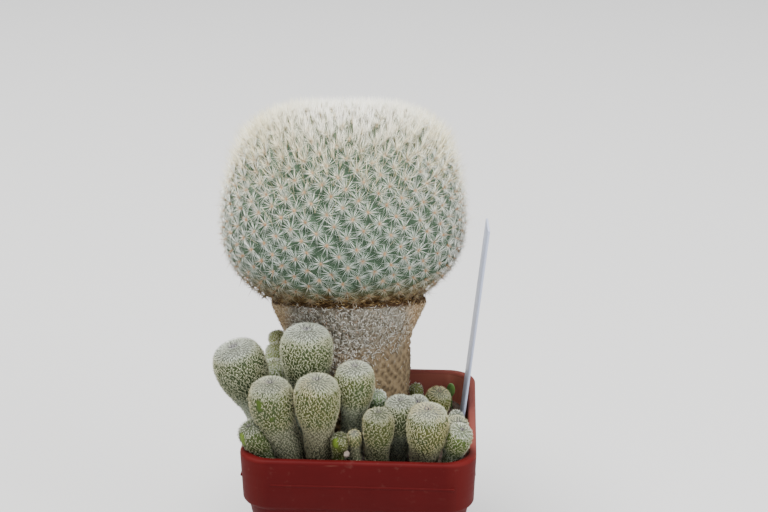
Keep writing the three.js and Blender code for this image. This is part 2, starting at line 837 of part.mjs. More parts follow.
function labelSlot() {
  const half = LABEL_WIDTH / 2 + SIDE_GAP;
  const thick = LABEL_THICKNESS + 2 * SIDE_GAP;
  const height = LABEL_BURIED + SIDE_GAP + 8;
  const box = new THREE.BoxGeometry(2 * half, height, thick);
  box.translate(0, 8 - height / 2, 0);
  return standLabel(box);
}

// A seedling with one broad leaf, lofted from flattened rings.
function sprout() {
  const sizes = [
    [0.8, 0.8, 0],
    [0.7, 0.7, 0.4],
    [0.7, 0.6, 0.58],
    [1.2, 0.8, 0.72],
    [1.4, 0.7, 0.84],
    [0.9, 0.5, 0.95],
    [0.4, 0.3, 1],
  ];
  const rings = sizes.map(([wide, deep, share]) => {
    return circleRing({ x: 0, y: 0 }, 1, 8, share * SPROUT_HEIGHT).map((point) => {
      return point.set(point.x * wide, point.y * deep - 2 * share * share, point.z).add(SPROUT_ROOT);
    });
  });
  return meshOf("sprout", loft(rings), COLOURS.sprout);
}

// Soil

// Grains on the soil: sums of waves whose phases are drawn once.
function grain(x, y) {
  const waves = Math.sin(0.9 * x + 1.3) * Math.cos(1.1 * y - 0.4) + Math.sin(0.53 * x - 0.71 * y + 2);
  return SOIL_GRAIN * 0.5 * waves;
}

function stemHole(x, y, radius, sides, foot) {
  const wide = (radius + SIDE_GAP) / Math.cos(Math.PI / sides);
  return loft([
    circleRing({ x, y }, wide, sides, foot),
    circleRing({ x, y }, wide, sides, POT_HEIGHT),
  ]);
}

function soil() {
  const rings = [
    insideRing(FLOOR_TOP, SIDE_GAP).map((point) => point.setZ(FLOOR_TOP)),
    insideRing(BODY_TOP, SIDE_GAP),
    insideRing(SOIL_TOP, SIDE_GAP),
  ];
  for (const share of [0.9, 0.76, 0.58, 0.38, 0.18]) {
    rings.push(insideRing(SOIL_TOP, SIDE_GAP).map((point) => {
      const [x, y] = [point.x * share, point.y * share];
      return point.set(x, y, SOIL_TOP + grain(x, y));
    }));
  }
  const holes = OFFSETS.map(([, x, y, , , , , neck]) => {
    return stemHole(x, y, neck * OFFSET_FOOT_SHARE, OFFSET_FOOT_SIDES, OFFSET_FOOT);
  });
  holes.push(stemHole(STEM_ROOT.x, STEM_ROOT.y, STEM_ROOT_RADIUS, NECK_SIDES, STEM_FOOT));
  holes.push(stemHole(SPROUT_ROOT.x, SPROUT_ROOT.y, 0.9, OFFSET_FOOT_SIDES, SPROUT_ROOT.z));
  holes.push(labelSlot());
  return meshOf("soil", cutAway(loft(rings), holes), COLOURS.soil);
}

const cactus = new THREE.Group();
cactus.name = "potted_button_cactus";
cactus.add(pot(), soil(), mainStem(), mainHead(), ...offsets(), sprout(), label());

export default cactus;
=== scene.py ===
import json
import math

import bpy
import numpy as np
from mathutils.kdtree import KDTree
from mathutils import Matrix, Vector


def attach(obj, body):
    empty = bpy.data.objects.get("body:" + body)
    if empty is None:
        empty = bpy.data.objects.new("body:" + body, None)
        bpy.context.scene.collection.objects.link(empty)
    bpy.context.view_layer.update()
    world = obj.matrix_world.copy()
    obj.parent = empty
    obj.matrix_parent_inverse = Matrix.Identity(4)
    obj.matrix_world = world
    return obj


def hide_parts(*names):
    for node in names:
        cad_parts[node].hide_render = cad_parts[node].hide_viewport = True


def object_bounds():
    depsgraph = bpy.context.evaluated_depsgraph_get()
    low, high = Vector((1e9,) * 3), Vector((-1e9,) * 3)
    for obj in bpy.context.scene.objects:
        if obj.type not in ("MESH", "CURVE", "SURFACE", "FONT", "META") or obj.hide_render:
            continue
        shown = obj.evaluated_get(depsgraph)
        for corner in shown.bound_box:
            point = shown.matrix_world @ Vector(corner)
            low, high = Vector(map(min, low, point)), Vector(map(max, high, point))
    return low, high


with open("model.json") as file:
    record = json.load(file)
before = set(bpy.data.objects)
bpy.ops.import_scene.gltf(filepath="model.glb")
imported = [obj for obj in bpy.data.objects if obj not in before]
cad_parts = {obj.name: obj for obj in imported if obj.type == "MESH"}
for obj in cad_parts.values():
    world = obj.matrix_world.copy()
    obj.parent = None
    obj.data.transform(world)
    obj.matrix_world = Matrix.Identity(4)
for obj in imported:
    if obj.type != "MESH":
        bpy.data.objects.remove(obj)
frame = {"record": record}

MM = 0.001
cad_box = [list(corner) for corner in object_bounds()]

# The pot
# A square nursery pot of thin dark red plastic, moulded in one piece: a tapered body under a
# deep collar with a rounded lip, a low ledge across each side of the collar, and four drains.

RIM_HALF = 35.0
BASE_HALF = 25.0
BASE_CORNER = 6.0
BASE_EDGE = 0.8
POT_OUTSIDE = [(25, 0.8), (33, 47.1), (33.5, 47.5), (34.2, 48.1), (34.5, 48.8), (35, 63.3), (34.6, 63.9)]
POT_LIP = [(34.1, 64), (33, 64), (32.6, 63.4)]
POT_INSIDE = [(31.4, 47.4), (23.6, 2)]
LEDGE_SIZE = (0.9, 54, 0.8)
LEDGE_HEIGHT = 56.0
LEDGE_SHIFT = 1.7
LEDGE_SINK = 0.55
DRAIN_RADIUS = 3.0
DRAIN_REACH = 9.2


class Wire:
    """A socket's number in a material. Arithmetic on it adds Math nodes."""

    def __init__(self, tree, socket):
        self.tree = tree
        self.socket = socket

    def maths(self, operation, *values):
        node = self.tree.nodes.new("ShaderNodeMath")
        node.operation = operation
        for socket, value in zip(node.inputs, values):
            if isinstance(value, Wire):
                self.tree.links.new(value.socket, socket)
            else:
                socket.default_value = value
        return Wire(self.tree, node.outputs[0])

    def __add__(self, other):
        return self.maths("ADD", self, other)

    def __sub__(self, other):
        return self.maths("SUBTRACT", self, other)

    def __rsub__(self, other):
        return self.maths("SUBTRACT", other, self)

    def __mul__(self, other):
        return self.maths("MULTIPLY", self, other)

    def __truediv__(self, other):
        return self.maths("DIVIDE", self, other)

    __radd__ = __add__
    __rmul__ = __mul__

    def ramp(self, low, high):
        """0 below low, 1 above high, and a straight climb between them. High may be the lower."""
        scaled = (self - low) / (high - low)
        return self.maths("MINIMUM", scaled.larger(0.0), 1.0)

    def larger(self, other):
        return self.maths("MAXIMUM", self, other)

    def absolute(self):
        return self.maths("ABSOLUTE", self)


class Finish:
    """A material with its Principled shader, to which patterns are added a node at a time."""

    def __init__(self, name, **constants):
        self.material = bpy.data.materials.new(name)
        self.material.use_nodes = True
        self.tree = self.material.node_tree
        self.shader = self.tree.nodes["Principled BSDF"]
        for key, value in constants.items():
            self.shader.inputs[key.replace("_", " ")].default_value = value
        self.place = self.add("TexCoord", out="Object")

    def fill(self, socket, value):
        if isinstance(value, Wire):
            self.tree.links.new(value.socket, socket)
        elif isinstance(value, tuple) and len(value) == 3 and socket.type == "RGBA":
            socket.default_value = (*value, 1.0)
        else:
            socket.default_value = value

    def add(self, kind, settings=None, inputs=None, out=0):
        node = self.tree.nodes.new("ShaderNode" + kind)
        for key, value in (settings or {}).items():
            setattr(node, key, value)
        for key, value in (inputs or {}).items():
            self.fill(node.inputs[key], value)
        return Wire(self.tree, node.outputs[out])

    def noise(self, scale, detail=3.0, roughness=0.55, stretch=(1, 1, 1)):
        at = self.place
        if stretch != (1, 1, 1):
            at = self.add("Mapping", inputs={"Vector": at, "Scale": stretch}, out="Vector")
        wanted = {"Vector": at, "Scale": scale, "Detail": detail, "Roughness": roughness}
        return self.add("TexNoise", inputs=wanted)

    def cells(self, scale):
        return self.add("TexVoronoi", inputs={"Vector": self.place, "Scale": scale}, out="Distance")

    def axes(self):
        split = self.add("SeparateXYZ", inputs={"Vector": self.place})
        return [Wire(self.tree, socket) for socket in split.socket.node.outputs]

    def aside(self, middle):
        """How far a point lies to the left or right of a middle, which is given in millimetres."""
        return (self.axes()[0] - middle * MM).absolute()

    def values(self, *names):
        """The numbers that the piece's own mesh carries at each of its points, by their names."""
        return [self.add("Attribute", {"attribute_name": name}, out="Fac") for name in names]

    def mixed(self, share, first, second):
        """Two colours mixed by a share of the second."""
        return self.add("Mix", {"data_type": "RGBA"}, {0: share, 6: first, 7: second}, out=2)

    def layered(self, colour, *layers):
        """A colour with others laid over it in turn, each with the share that it takes."""
        for share, over in layers:
            colour = self.mixed(share, colour, over)
        return colour

    def finish(self, colour, roughness=None, height=None, depth=0.2, strength=1.0):
        self.fill(self.shader.inputs["Base Color"], colour)
        if roughness is not None:
            self.fill(self.shader.inputs["Roughness"], roughness)
        if height is not None:
            wanted = {"Height": height, "Distance": depth * MM, "Strength": strength}
            self.fill(self.shader.inputs["Normal"], self.add("Bump", inputs=wanted))
        return self.material


def dress(piece, material, node):
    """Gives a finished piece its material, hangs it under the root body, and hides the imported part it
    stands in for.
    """
    piece.data.materials.clear()
    piece.data.materials.append(material)
    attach(piece, "root")
    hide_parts(node)


def select_only(*pieces):
    bpy.ops.object.select_all(action="DESELECT")
    for piece in pieces:
        piece.select_set(True)
    bpy.context.view_layer.objects.active = pieces[0]


def apply_modifier(piece, kind, **settings):
    select_only(piece)
    modifier = piece.modifiers.new(kind.lower(), kind)
    for key, value in settings.items():
        setattr(modifier, key, value)
    bpy.ops.object.modifier_apply(modifier=modifier.name)


def settle(piece):
    """Puts a piece's place into its mesh, so that its object is at the origin."""
    select_only(piece)
    bpy.ops.object.transform_apply(location=True, rotation=True, scale=True)


def extrude_rings(sizes, half, height):
    """Carries the selected face up and in or out through rings of a half width and a height."""
    for next_half, next_height in sizes:
        rise = (next_height - height) * MM
        bpy.ops.mesh.extrude_region_move(TRANSFORM_OT_translate={"value": (0, 0, rise)})
        grow = next_half / half
        bpy.ops.transform.resize(value=(grow, grow, 1), center_override=(0, 0, next_height * MM))
        half, height = next_half, next_height


bpy.ops.object.select_all(action="DESELECT")
bpy.ops.mesh.primitive_plane_add(size=2 * (BASE_HALF - BASE_EDGE) * MM)
pot = bpy.context.object
pot.name = "nursery_pot"
bpy.ops.object.mode_set(mode="EDIT")
bpy.ops.mesh.select_all(action="SELECT")
bpy.ops.mesh.bevel(offset=BASE_CORNER * MM, segments=12, affect="VERTICES")
extrude_rings(POT_OUTSIDE + POT_LIP + POT_INSIDE, BASE_HALF - BASE_EDGE, 0)
bpy.ops.mesh.select_all(action="SELECT")
bpy.ops.mesh.normals_make_consistent(inside=False)
bpy.ops.object.mode_set(mode="OBJECT")

for across, along in [(1, 1), (-1, 1), (-1, -1), (1, -1)]:
    spot = (across * DRAIN_REACH * MM, along * DRAIN_REACH * MM, MM)
    bpy.ops.object.select_all(action="DESELECT")
    bpy.ops.mesh.primitive_cylinder_add(radius=DRAIN_RADIUS * MM, depth=6 * MM, vertices=32, location=spot)
    drill = bpy.context.object
    apply_modifier(pot, "BOOLEAN", operation="DIFFERENCE", solver="EXACT", object=drill)
    bpy.data.objects.remove(drill, do_unlink=True)

apply_modifier(pot, "BEVEL", width=0.25 * MM, segments=2, limit_method="ANGLE", angle_limit=math.radians(25))

ledges = []
for side in range(4):
    bpy.ops.object.select_all(action="DESELECT")
    bpy.ops.mesh.primitive_cube_add(size=MM)
    bar = bpy.context.object
    bar.scale = LEDGE_SIZE
    settle(bar)
    apply_modifier(bar, "BEVEL", width=0.3 * MM, segments=3)
    bar.location = ((RIM_HALF - LEDGE_SINK) * MM, LEDGE_SHIFT * MM, LEDGE_HEIGHT * MM)
    settle(bar)
    bar.rotation_euler = (0, 0, side * math.pi / 2)
    settle(bar)
    ledges.append(bar)
select_only(pot, *ledges)
bpy.ops.object.join()
select_only(pot)
bpy.ops.object.shade_smooth_by_angle(angle=math.radians(32))

plastic = Finish("pot_plastic", Specular_IOR_Level=0.07)
x, y, z = plastic.axes()
mottle = plastic.noise(140, 4)
scuffs = plastic.noise(900, 2, stretch=(0.12, 0.12, 1.6))
scratches = plastic.noise(60, 2, stretch=(1, 1, 14)).ramp(0.66, 0.72)
lip = z.ramp(0.0625, 0.0636)
diagonal = x.absolute() + y.absolute()
across = x.absolute().larger(y.absolute()).larger(diagonal * 0.52)
# Where the inner walls of the back half show, which are lightened as painted light
inside = (across - z * 0.072).ramp(0.0284, 0.0278) * y.ramp(-0.024, -0.008)
inside = inside * z.ramp(0.0637, 0.0628) * z.ramp(0.049, 0.053)
# The corners' mask, for a painted highlight down the rounded corners
corner = diagonal.ramp(0.0605, 0.0655)
dust = plastic.noise(420, 4).ramp(0.62, 0.85) * z.ramp(0.045, 0.062)
red = plastic.layered(
    plastic.mixed(mottle, (0.048, 0.0022, 0.0024), (0.062, 0.0032, 0.0034)),
    # painted highlight: the rounded corners a little lighter
    (corner * 0.2, (0.13, 0.016, 0.012)),
    # painted highlight: the top of the lip lighter and pinker along the front
    (lip * y.ramp(-0.031, -0.018) * 0.5, (0.24, 0.075, 0.058)),
    # painted light: the inner walls of the back half lighter and pinker
    (inside * 0.75, (0.35, 0.125, 0.09)),
    (scratches * lip * 0.6, (0.5, 0.25, 0.18)),
    (dust * 0.12, (0.36, 0.22, 0.18)),
)
moulded = plastic.finish(red, roughness=scuffs * 0.2 + 0.5, height=scuffs, depth=0.05, strength=0.35)
dress(pot, moulded, "pot")

# The soil
# Dark gritty potting mix, filled to about 8 mm below the rim. It is a block that fits the pot,
# with a grainy top and loose grit scattered over it.

SOIL_TOP = 55.6
SOIL_HALF = 31.6
SOIL_CORNER = 6.5
SOIL_RINGS = [(23.2, 2.05), (30.7, 44.5), (SOIL_HALF, 55.2)]
GRIT_STONES = 620
GRIT_REACH = 30.6
BARK_PLACE = (-2.9, -31.6, 65.2)
BARK_HALVES = (1.5, 0.8, 1.0)
BARK_TONE = 0.6


def mesh_piece(name, points, faces, values=None, smooth=True):
    """A piece from points in millimetres and faces, with the numbers that its points carry."""
    mesh = bpy.data.meshes.new(name)
    mesh.from_pydata((np.asarray(points) * MM).tolist(), [], faces)
    for key, numbers in (values or {}).items():
        layer = mesh.attributes.new(key, "FLOAT", "POINT")
        layer.data.foreach_set("value", np.asarray(numbers, dtype=np.float32))
    mesh.validate()
    if smooth:
        mesh.shade_smooth()
    else:
        mesh.shade_flat()
    piece = bpy.data.objects.new(name, mesh)
    bpy.context.scene.collection.objects.link(piece)
    return piece


def loft_faces(rings, columns):
    """Faces of a closed body from rings of points, with one more point at each end."""
    faces = []
    for low in range(0, (rings - 1) * columns, columns):
        high = low + columns
        for j in range(columns):
            k = (j + 1) % columns
            faces.append((low + j, low + k, high + k, high + j))
    foot, top, last = rings * columns, rings * columns + 1, (rings - 1) * columns
    for j in range(columns):
        k = (j + 1) % columns
        faces.append((k, j, foot))
        faces.append((last + j, last + k, top))
    return faces


def rounded_square(half, corner, columns):
    """Points round a square with rounded corners, evenly spaced by direction."""
    angle = np.arange(columns) / columns * 2 * math.pi
    away = np.stack([np.cos(angle), np.sin(angle)], 1)
    power = 2 + 5.5 * (1 - corner / half)
    reach = (np.abs(away) ** power).sum(1) ** (-1 / power)
    return away * reach[:, None] * half


def soil_relief(x, y):
    rough = np.sin(0.9 * x + 1.3) * np.cos(1.1 * y - 0.4) + np.sin(0.53 * x - 0.71 * y + 2)
    fine = np.sin(3.1 * x + 0.7 * y) * np.cos(2.7 * y - 1.9 * x + 1)
    return 0.27 * rough + 0.16 * fine


grit_draw = np.random.default_rng(5)
rows = []
columns = 96
for half, height in SOIL_RINGS:
    flat = rounded_square(half, SOIL_CORNER, columns)
    rows.append(np.column_stack([flat, np.full(columns, height)]))
for share in np.linspace(0.985, 0.04, 34):
    flat = rounded_square(SOIL_HALF, SOIL_CORNER, columns) * share
    crumbs = grit_draw.normal(0, 0.1, columns)
    rows.append(np.column_stack([flat, SOIL_TOP + soil_relief(flat[:, 0], flat[:, 1]) + crumbs]))
points = np.vstack(rows + [[[0, 0, SOIL_RINGS[0][1]]], [[0, 0, SOIL_TOP]]])
soil = mesh_piece("potting_mix", points, loft_faces(len(rows), columns))

# Loose grit: small lumps, each squeezed and turned at random, and a bit of bark at the front rim
bpy.ops.object.select_all(action="DESELECT")
bpy.ops.mesh.primitive_ico_sphere_add(subdivisions=1, radius=1)
pebble = bpy.context.object
pebble_points = np.array([v.co for v in pebble.data.vertices])
pebble_faces = np.array([tuple(f.vertices) for f in pebble.data.polygons])
bpy.data.objects.remove(pebble, do_unlink=True)


def lumps_piece(name, lumps, smooth=True, **each):
    """A piece of many lumps with a pebble's faces. Each lump's numbers are at all its points."""
    corners = len(pebble_points)
    faces = pebble_faces + corners * np.arange(len(lumps))[:, None, None]
    values = {key: np.repeat(numbers, corners) for key, numbers in each.items()}
    return mesh_piece(name, np.vstack(lumps), faces.reshape(-1, 3).tolist(), values, smooth)


def turned(points, draw):
    """The points after a random turn in space."""
    basis, _ = np.linalg.qr(draw.normal(size=(3, 3)))
    if np.linalg.det(basis) < 0:
        basis[:, 0] *= -1
    return points @ basis.T


stones, stone_tones = [], []
for i in range(GRIT_STONES):
    spot = grit_draw.uniform(-GRIT_REACH, GRIT_REACH, 2)
    if (np.abs(spot) ** 5).sum() > GRIT_REACH**5:
        continue
    size = grit_draw.uniform(0.35, 1.25)
    size = size * np.array([1, grit_draw.uniform(0.6, 1), grit_draw.uniform(0.45, 0.8)])
    lumps = pebble_points * (1 + grit_draw.normal(0, 0.09, (len(pebble_points), 1)))
    stone = turned(lumps * size, grit_draw)
    stone += [*spot, SOIL_TOP + soil_relief(*spot) + 0.2]
    stones.append(stone)
    stone_tones.append(grit_draw.uniform())
stones.append(turned(pebble_points * BARK_HALVES, grit_draw) + BARK_PLACE)
stone_tones.append(BARK_TONE)
grit = lumps_piece("soil_grit", stones, smooth=False, tone=stone_tones)

earth = Finish("potting_mix", Roughness=0.95)
crumbs = earth.noise(900, 6, 0.7)
flecks = earth.cells(1500).ramp(0.16, 0.1) * earth.noise(300, 2).ramp(0.52, 0.6)
brown = earth.layered(
    earth.mixed(crumbs.ramp(0.3, 0.7), (0.018, 0.012, 0.009), (0.1, 0.066, 0.048)),
    (flecks * 0.7, (0.42, 0.36, 0.31)),
)
dress(soil, earth.finish(brown, height=crumbs, depth=0.8), "soil")

stone = Finish("soil_grit", Roughness=0.85)
tone = stone.values("tone")[0]
grain = stone.noise(1600, 4)
pale = stone.layered(
    stone.mixed(tone.ramp(0.45, 0.95), (0.05, 0.035, 0.028), (0.36, 0.3, 0.26)),
    (tone.ramp(0.93, 0.96) * 0.8, (0.62, 0.58, 0.55)),
    (grain * 0.5, (0.13, 0.09, 0.07)),
)
dress(grit, stone.finish(pale, height=grain), "soil")

# The main stem
# The plant's old corky stem, grey and tan, netted with the diamond scars of fallen tubercles
# and still shaggy with dead white spines near the top, under a ring of brown fibres.

STEM_START = 57.0
STEM_ROOT = (-4.9, 6, STEM_START)
STEM_LOW_BEND = (-4.6, 6, 66)
STEM_HIGH_BEND = (-5.4, 8.5, 79.4)
NECK_CENTRE = (-5.4, 13.5, 97.2)
HEAD_SHIFT = np.array([-2.0, 0, 0])
GOLDEN_ANGLE = math.pi * (3 - math.sqrt(5))
STEM_GRID = (130, 320)
STEM_SCARS = 1150
SCAR_WIDTH = 1.15
STEM_MIDDLE = -4.5
DEAD_SPINES = 15500
NECK_FIBRES = 1700
NEEDLE_ASKEW = (0.31, 0.52, 0.79)
OUTLINE_STEPS = 400
BOX_SPARE = 1.8


class StemLine:
    """A plant's middle line: a curve from root to head, straight on beyond both its ends."""

    def __init__(self, root, low_bend, high_bend, centre):
        self.corners = [np.array(point, float) for point in (root, low_bend, high_bend, centre)]
        self.times = np.linspace(0, 1, 201)
        steps = np.linalg.norm(np.diff(self.point(self.times), axis=0), axis=1)
        self.run = np.concatenate([[0], np.cumsum(steps)])
        self.length = self.run[-1]
        lean = self.corners[3] - self.corners[0]
        self.side = np.cross([0, 0, 1], lean / np.hypot(lean[0], lean[1]))

    def point(self, t):
        a, b, c, d = self.corners
        t = t[:, None]
        return (1 - t) ** 3 * a + 3 * t * (1 - t) ** 2 * b + 3 * t**2 * (1 - t) * c + t**3 * d

    def at(self, h):
        """The point h millimetres along the line, and the directions along and across it."""
        a, b, c, d = self.corners
        t = np.interp(h, self.run, self.times)
        share = t[:, None]
        along = unit((1 - share) ** 2 * (b - a) + 2 * share * (1 - share) * (c - b) + share**2 * (d - c))
        point = self.point(t) + along * (h - np.clip(h, 0, self.length))[:, None]
        return point, along, np.cross(self.side, along)

    def around(self, r, h, angle):
        point, _, across = self.at(h)
        return point + across * (r * np.cos(angle))[:, None] + self.side * (r * np.sin(angle))[:, None]

    def frame(self, out, h, angle):
        """Directions out of the skin, up it and sideways along it, where its normal is out."""
        _, along, across = self.at(h)
        radial = across * np.cos(angle)[:, None] + self.side * np.sin(angle)[:, None]
        outward = radial * out[:, :1] + along * out[:, 1:]
        upward = along * out[:, :1] - radial * out[:, 1:]
        return outward, upward, np.cross(outward, upward)


class Outline:
    """The outline of a round body: radius against distance along its line, foot first."""

    def __init__(self, pairs):
        p = np.array(pairs, float)
        q = np.vstack([p[:1], p, p[-1:]])
        t = np.linspace(0, 1, 30)[:-1, None]
        bends = []
        for a, b, c, d in zip(q[:-3], q[1:-2], q[2:-1], q[3:]):
            slow = (2 * a - 5 * b + 4 * c - d) * t**2 + (3 * b - a - 3 * c + d) * t**3
            bends.append(0.5 * (2 * b + (c - a) * t + slow))
        line = np.vstack(bends + [p[-1:]])
        run = np.concatenate([[0], np.cumsum(np.linalg.norm(np.diff(line, axis=0), axis=1))])
        self.run = np.linspace(0, run[-1], OUTLINE_STEPS)
        self.r = np.maximum(np.interp(self.run, run, line[:, 0]), 1e-3)
        self.h = np.interp(self.run, run, line[:, 1])
        self.area = np.concatenate([[0], np.cumsum((self.r[1:] + self.r[:-1]) / 2 * np.diff(self.run))])

    def at_run(self, run):
        """Radius, height and the normal's parts across and along the line, at lengths of outline."""
        r = np.interp(run, self.run, self.r)
        h = np.interp(run, self.run, self.h)
        rise = np.interp(run, self.run, np.gradient(self.h, self.run))
        swell = np.interp(run, self.run, np.gradient(self.r, self.run))
        return r, h, unit(np.column_stack([rise, -swell]))

    def spiral(self, count, low=0.022):
        """Places in a golden-angle spiral, evenly over the skin: radius, height, normal, angle."""
        share = low + (1 - low) * (np.arange(count) + 0.5) / count
        run = np.interp(share * self.area[-1], self.area, self.run)
        return (*self.at_run(run), np.arange(count) * GOLDEN_ANGLE)


def unit(rows):
    return rows / np.linalg.norm(rows, axis=1)[:, None]


def skin_of(line, outline, rows, columns, middles, rise):
    """Points, faces and values of a skin raised by rise(distance to the nearest bump's middle)."""
    run = np.linspace(0, outline.run[-1], rows + 1)[:-1]
    r, h, out = outline.at_run(run)
    angle = np.arange(columns) / columns * 2 * math.pi
    r, h = np.repeat(r, columns), np.repeat(h, columns)
    out, angle = np.repeat(out, columns, axis=0), np.tile(angle, rows)
    flat = line.around(r, h, angle)
    outward, _, _ = line.frame(out, h, angle)
    tree = KDTree(len(middles))
    for i, middle in enumerate(middles):
        tree.insert(middle, i)
    tree.balance()
    far = np.array([tree.find(point)[2] for point in flat])
    points = flat + outward * rise(far)[:, None]
    foot = points[:columns].mean(0)
    top = line.at(outline.h[-1:])[0]
    values = {
        "climb": np.append(run.repeat(columns) / outline.run[-1], [0, 1]),
        "bump": np.append(rise(far), [0, 0]),
        "high": np.append(h, outline.h[[0, -1]]),
        "wide": np.append(r, outline.r[[0, -1]]),
    }
    return np.vstack([points, foot, top]), loft_faces(rows, columns), values


def bristle_piece(name, roots, aims, droops, lengths, widths, **each):
    """A piece of closed three-sided needles, each drooping from its aim to its tip.

    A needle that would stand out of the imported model's box is left out. Each needle's own
    numbers are carried by all its points.
    """
    aims = unit(aims)
    tips = roots + (aims + droops) * lengths[:, None]
    low, high = np.array(cad_box) / MM
    fits = ((tips > low - BOX_SPARE) & (tips < high + BOX_SPARE)).all(1)
    roots, aims, tips, widths = roots[fits], aims[fits], tips[fits], widths[fits]
    first = unit(np.cross(aims, NEEDLE_ASKEW))
    second = np.cross(aims, first)
    turns = np.arange(3) * 2 * math.pi / 3
    ring = first[:, None, :] * np.cos(turns)[:, None] + second[:, None, :] * np.sin(turns)[:, None]
    ring = roots[:, None, :] + ring * widths[:, None, None]
    points = np.concatenate([ring, tips[:, None, :]], axis=1).reshape(-1, 3)
    corners = np.array([(0, 1, 3), (1, 2, 3), (2, 0, 3), (2, 1, 0)])
    faces = (np.arange(len(roots))[:, None, None] * 4 + corners).reshape(-1, 3)
    values = {key: np.repeat(numbers[fits], 4) for key, numbers in each.items()}
    values["along"] = np.tile([0.0, 0.0, 0.0, 1.0], len(roots))
    return mesh_piece(name, points, faces.tolist(), values)


main_line = StemLine(STEM_ROOT, STEM_LOW_BEND, STEM_HIGH_BEND, NECK_CENTRE)
NECK = main_line.length
stem_outline = Outline([
    (17.3, -3), (17.4, 1), (18.3, NECK - 32), (19.1, NECK - 22), (19.2, NECK - 15), (19.8, NECK - 11),
    (21.2, NECK - 8), (22.6, NECK - 5), (23.6, NECK - 2.8), (23.9, NECK - 1), (22.4, NECK + 0.8),
])
stem_draw = np.random.default_rng(21)
scar_r, scar_h, _, scar_angle = stem_outline.spiral(STEM_SCARS, low=0)
scar_angle = scar_angle + stem_draw.normal(0, 0.018, STEM_SCARS)
scar_h = scar_h + stem_draw.normal(0, 0.28, STEM_SCARS)
scars = main_line.around(scar_r, scar_h, scar_angle)


def scar_rise(far):
    return 0.5 * np.clip(1 - far / SCAR_WIDTH, 0, 1) ** 0.8 - 0.2


points, faces, values = skin_of(main_line, stem_outline, *STEM_GRID, scars, scar_rise)
middle_axis, _, _ = main_line.at(np.interp(points[:, 2], main_line.at(main_line.run)[0][:, 2], main_line.run))
away = points - middle_axis
points = points + away * stem_draw.normal(0, 0.006, (len(points), 1))
stem = mesh_piece("corky_stem", points, faces, values)

cork = Finish("corky_skin", Roughness=0.9, Specular_IOR_Level=0.2)
climb, bump = cork.values("climb", "bump")
raised = bump.ramp(-0.2, 0.2)
fibres = cork.noise(1300, 5, 0.65, stretch=(1, 1, 0.45))
patches = cork.noise(170, 3)
blotches = cork.noise(420, 3)
x = cork.axes()[0]
tan = cork.mixed(fibres.ramp(0.35, 0.65), (0.1, 0.064, 0.035), (0.34, 0.25, 0.145))
grey = cork.mixed(fibres.ramp(0.35, 0.65), (0.09, 0.078, 0.055), (0.36, 0.33, 0.265))
aged = (climb + patches * 0.5 - x * 9.0).ramp(0.72, 1.02)
net = raised * 0.75 + fibres.ramp(0.3, 0.7) * 0.4
netted = cork.mixed(net, (0.3, 0.222, 0.122), (0.028, 0.018, 0.01))
rust = cork.layered(
    cork.mixed(fibres.ramp(0.3, 0.7), (0.17, 0.11, 0.055), (0.64, 0.45, 0.25)),
    (x.ramp(-0.014, -0.022) * 0.35, (0.8, 0.62, 0.4)),
    (raised * 0.5 + blotches.ramp(0.5, 0.65) * 0.3, (0.12, 0.07, 0.035)),
)
flanks = cork.aside(STEM_MIDDLE).ramp(0.0165, 0.0205) * climb.ramp(0.5, 0.72)
patch = cork.noise(90, 2).ramp(0.6, 0.66) * climb.ramp(0.6, 0.75)
bark = cork.layered(
    cork.mixed(aged, tan, grey),
    (blotches.ramp(0.5, 0.7) * 0.55, (0.13, 0.085, 0.05)),
    ((climb - x * 10.0).ramp(0.72, 0.42) * 0.7, netted),
    (flanks.larger(patch * 0.6), rust),
    ((climb + patches * 0.03).ramp(0.945, 0.965), (0.05, 0.024, 0.009)),
)
dress(stem, cork.finish(bark, height=fibres, depth=0.9), "main_stem")

# Dead spines: a jumble of short white and tan strokes, thick below the neck and thin lower down
share = stem_draw.uniform(0.05, 0.95, DEAD_SPINES)
r, h, out = stem_outline.at_run(share * stem_outline.run[-1])
angle = stem_draw.uniform(0, 2 * math.pi, DEAD_SPINES)
x, _, z = main_line.around(r, h, angle).T
shaggy = stem_draw.uniform(size=DEAD_SPINES) < np.clip(0.5 + (z - 83 - 0.6 * x) / 10, 0.02, 1)
share, r, h, angle, out = share[shaggy], r[shaggy], h[shaggy], angle[shaggy], out[shaggy]
count = len(r)
outward, upward, sideways = main_line.frame(out, h, angle)
spread = stem_draw.uniform(0, 2 * math.pi, count)[:, None]
aims = outward * stem_draw.uniform(0.15, 0.8, (count, 1))
aims += upward * np.cos(spread) + sideways * np.sin(spread)
bristles = bristle_piece(
    "stem_bristles", main_line.around(r, h, angle) + outward * 0.05, aims, outward * -0.1,
    stem_draw.uniform(0.6, 1.8, count), stem_draw.uniform(0.09, 0.19, count),
    tone=stem_draw.uniform(size=count), climb=share,
)
straw = Finish("dead_spines", Roughness=0.7, Specular_IOR_Level=0.3)
tone, climb = straw.values("tone", "climb")
whitened = (climb * 1.15 + tone * 0.4 - straw.axes()[0] * 8.0).ramp(0.5, 0.85)
flanks = straw.aside(STEM_MIDDLE).ramp(0.016, 0.0205) * climb.ramp(0.45, 0.65)
rusty = straw.mixed(tone, (0.3, 0.19, 0.09), (0.98, 0.78, 0.5))
colour = straw.layered(
    straw.mixed(tone, (0.15, 0.1, 0.06), (0.48, 0.37, 0.24)),
    (whitened, (0.8, 0.78, 0.7)),
    (tone.ramp(0.32, 0.2) * 0.85, (0.17, 0.13, 0.085)),
    (tone.ramp(0.955, 0.96) * 0.8, (0.45, 0.21, 0.08)),
    (flanks * 0.85, rusty),
    (straw.noise(700) * 0.35, (0.2, 0.15, 0.1)),
)
dress(bristles, straw.finish(colour), "main_stem")

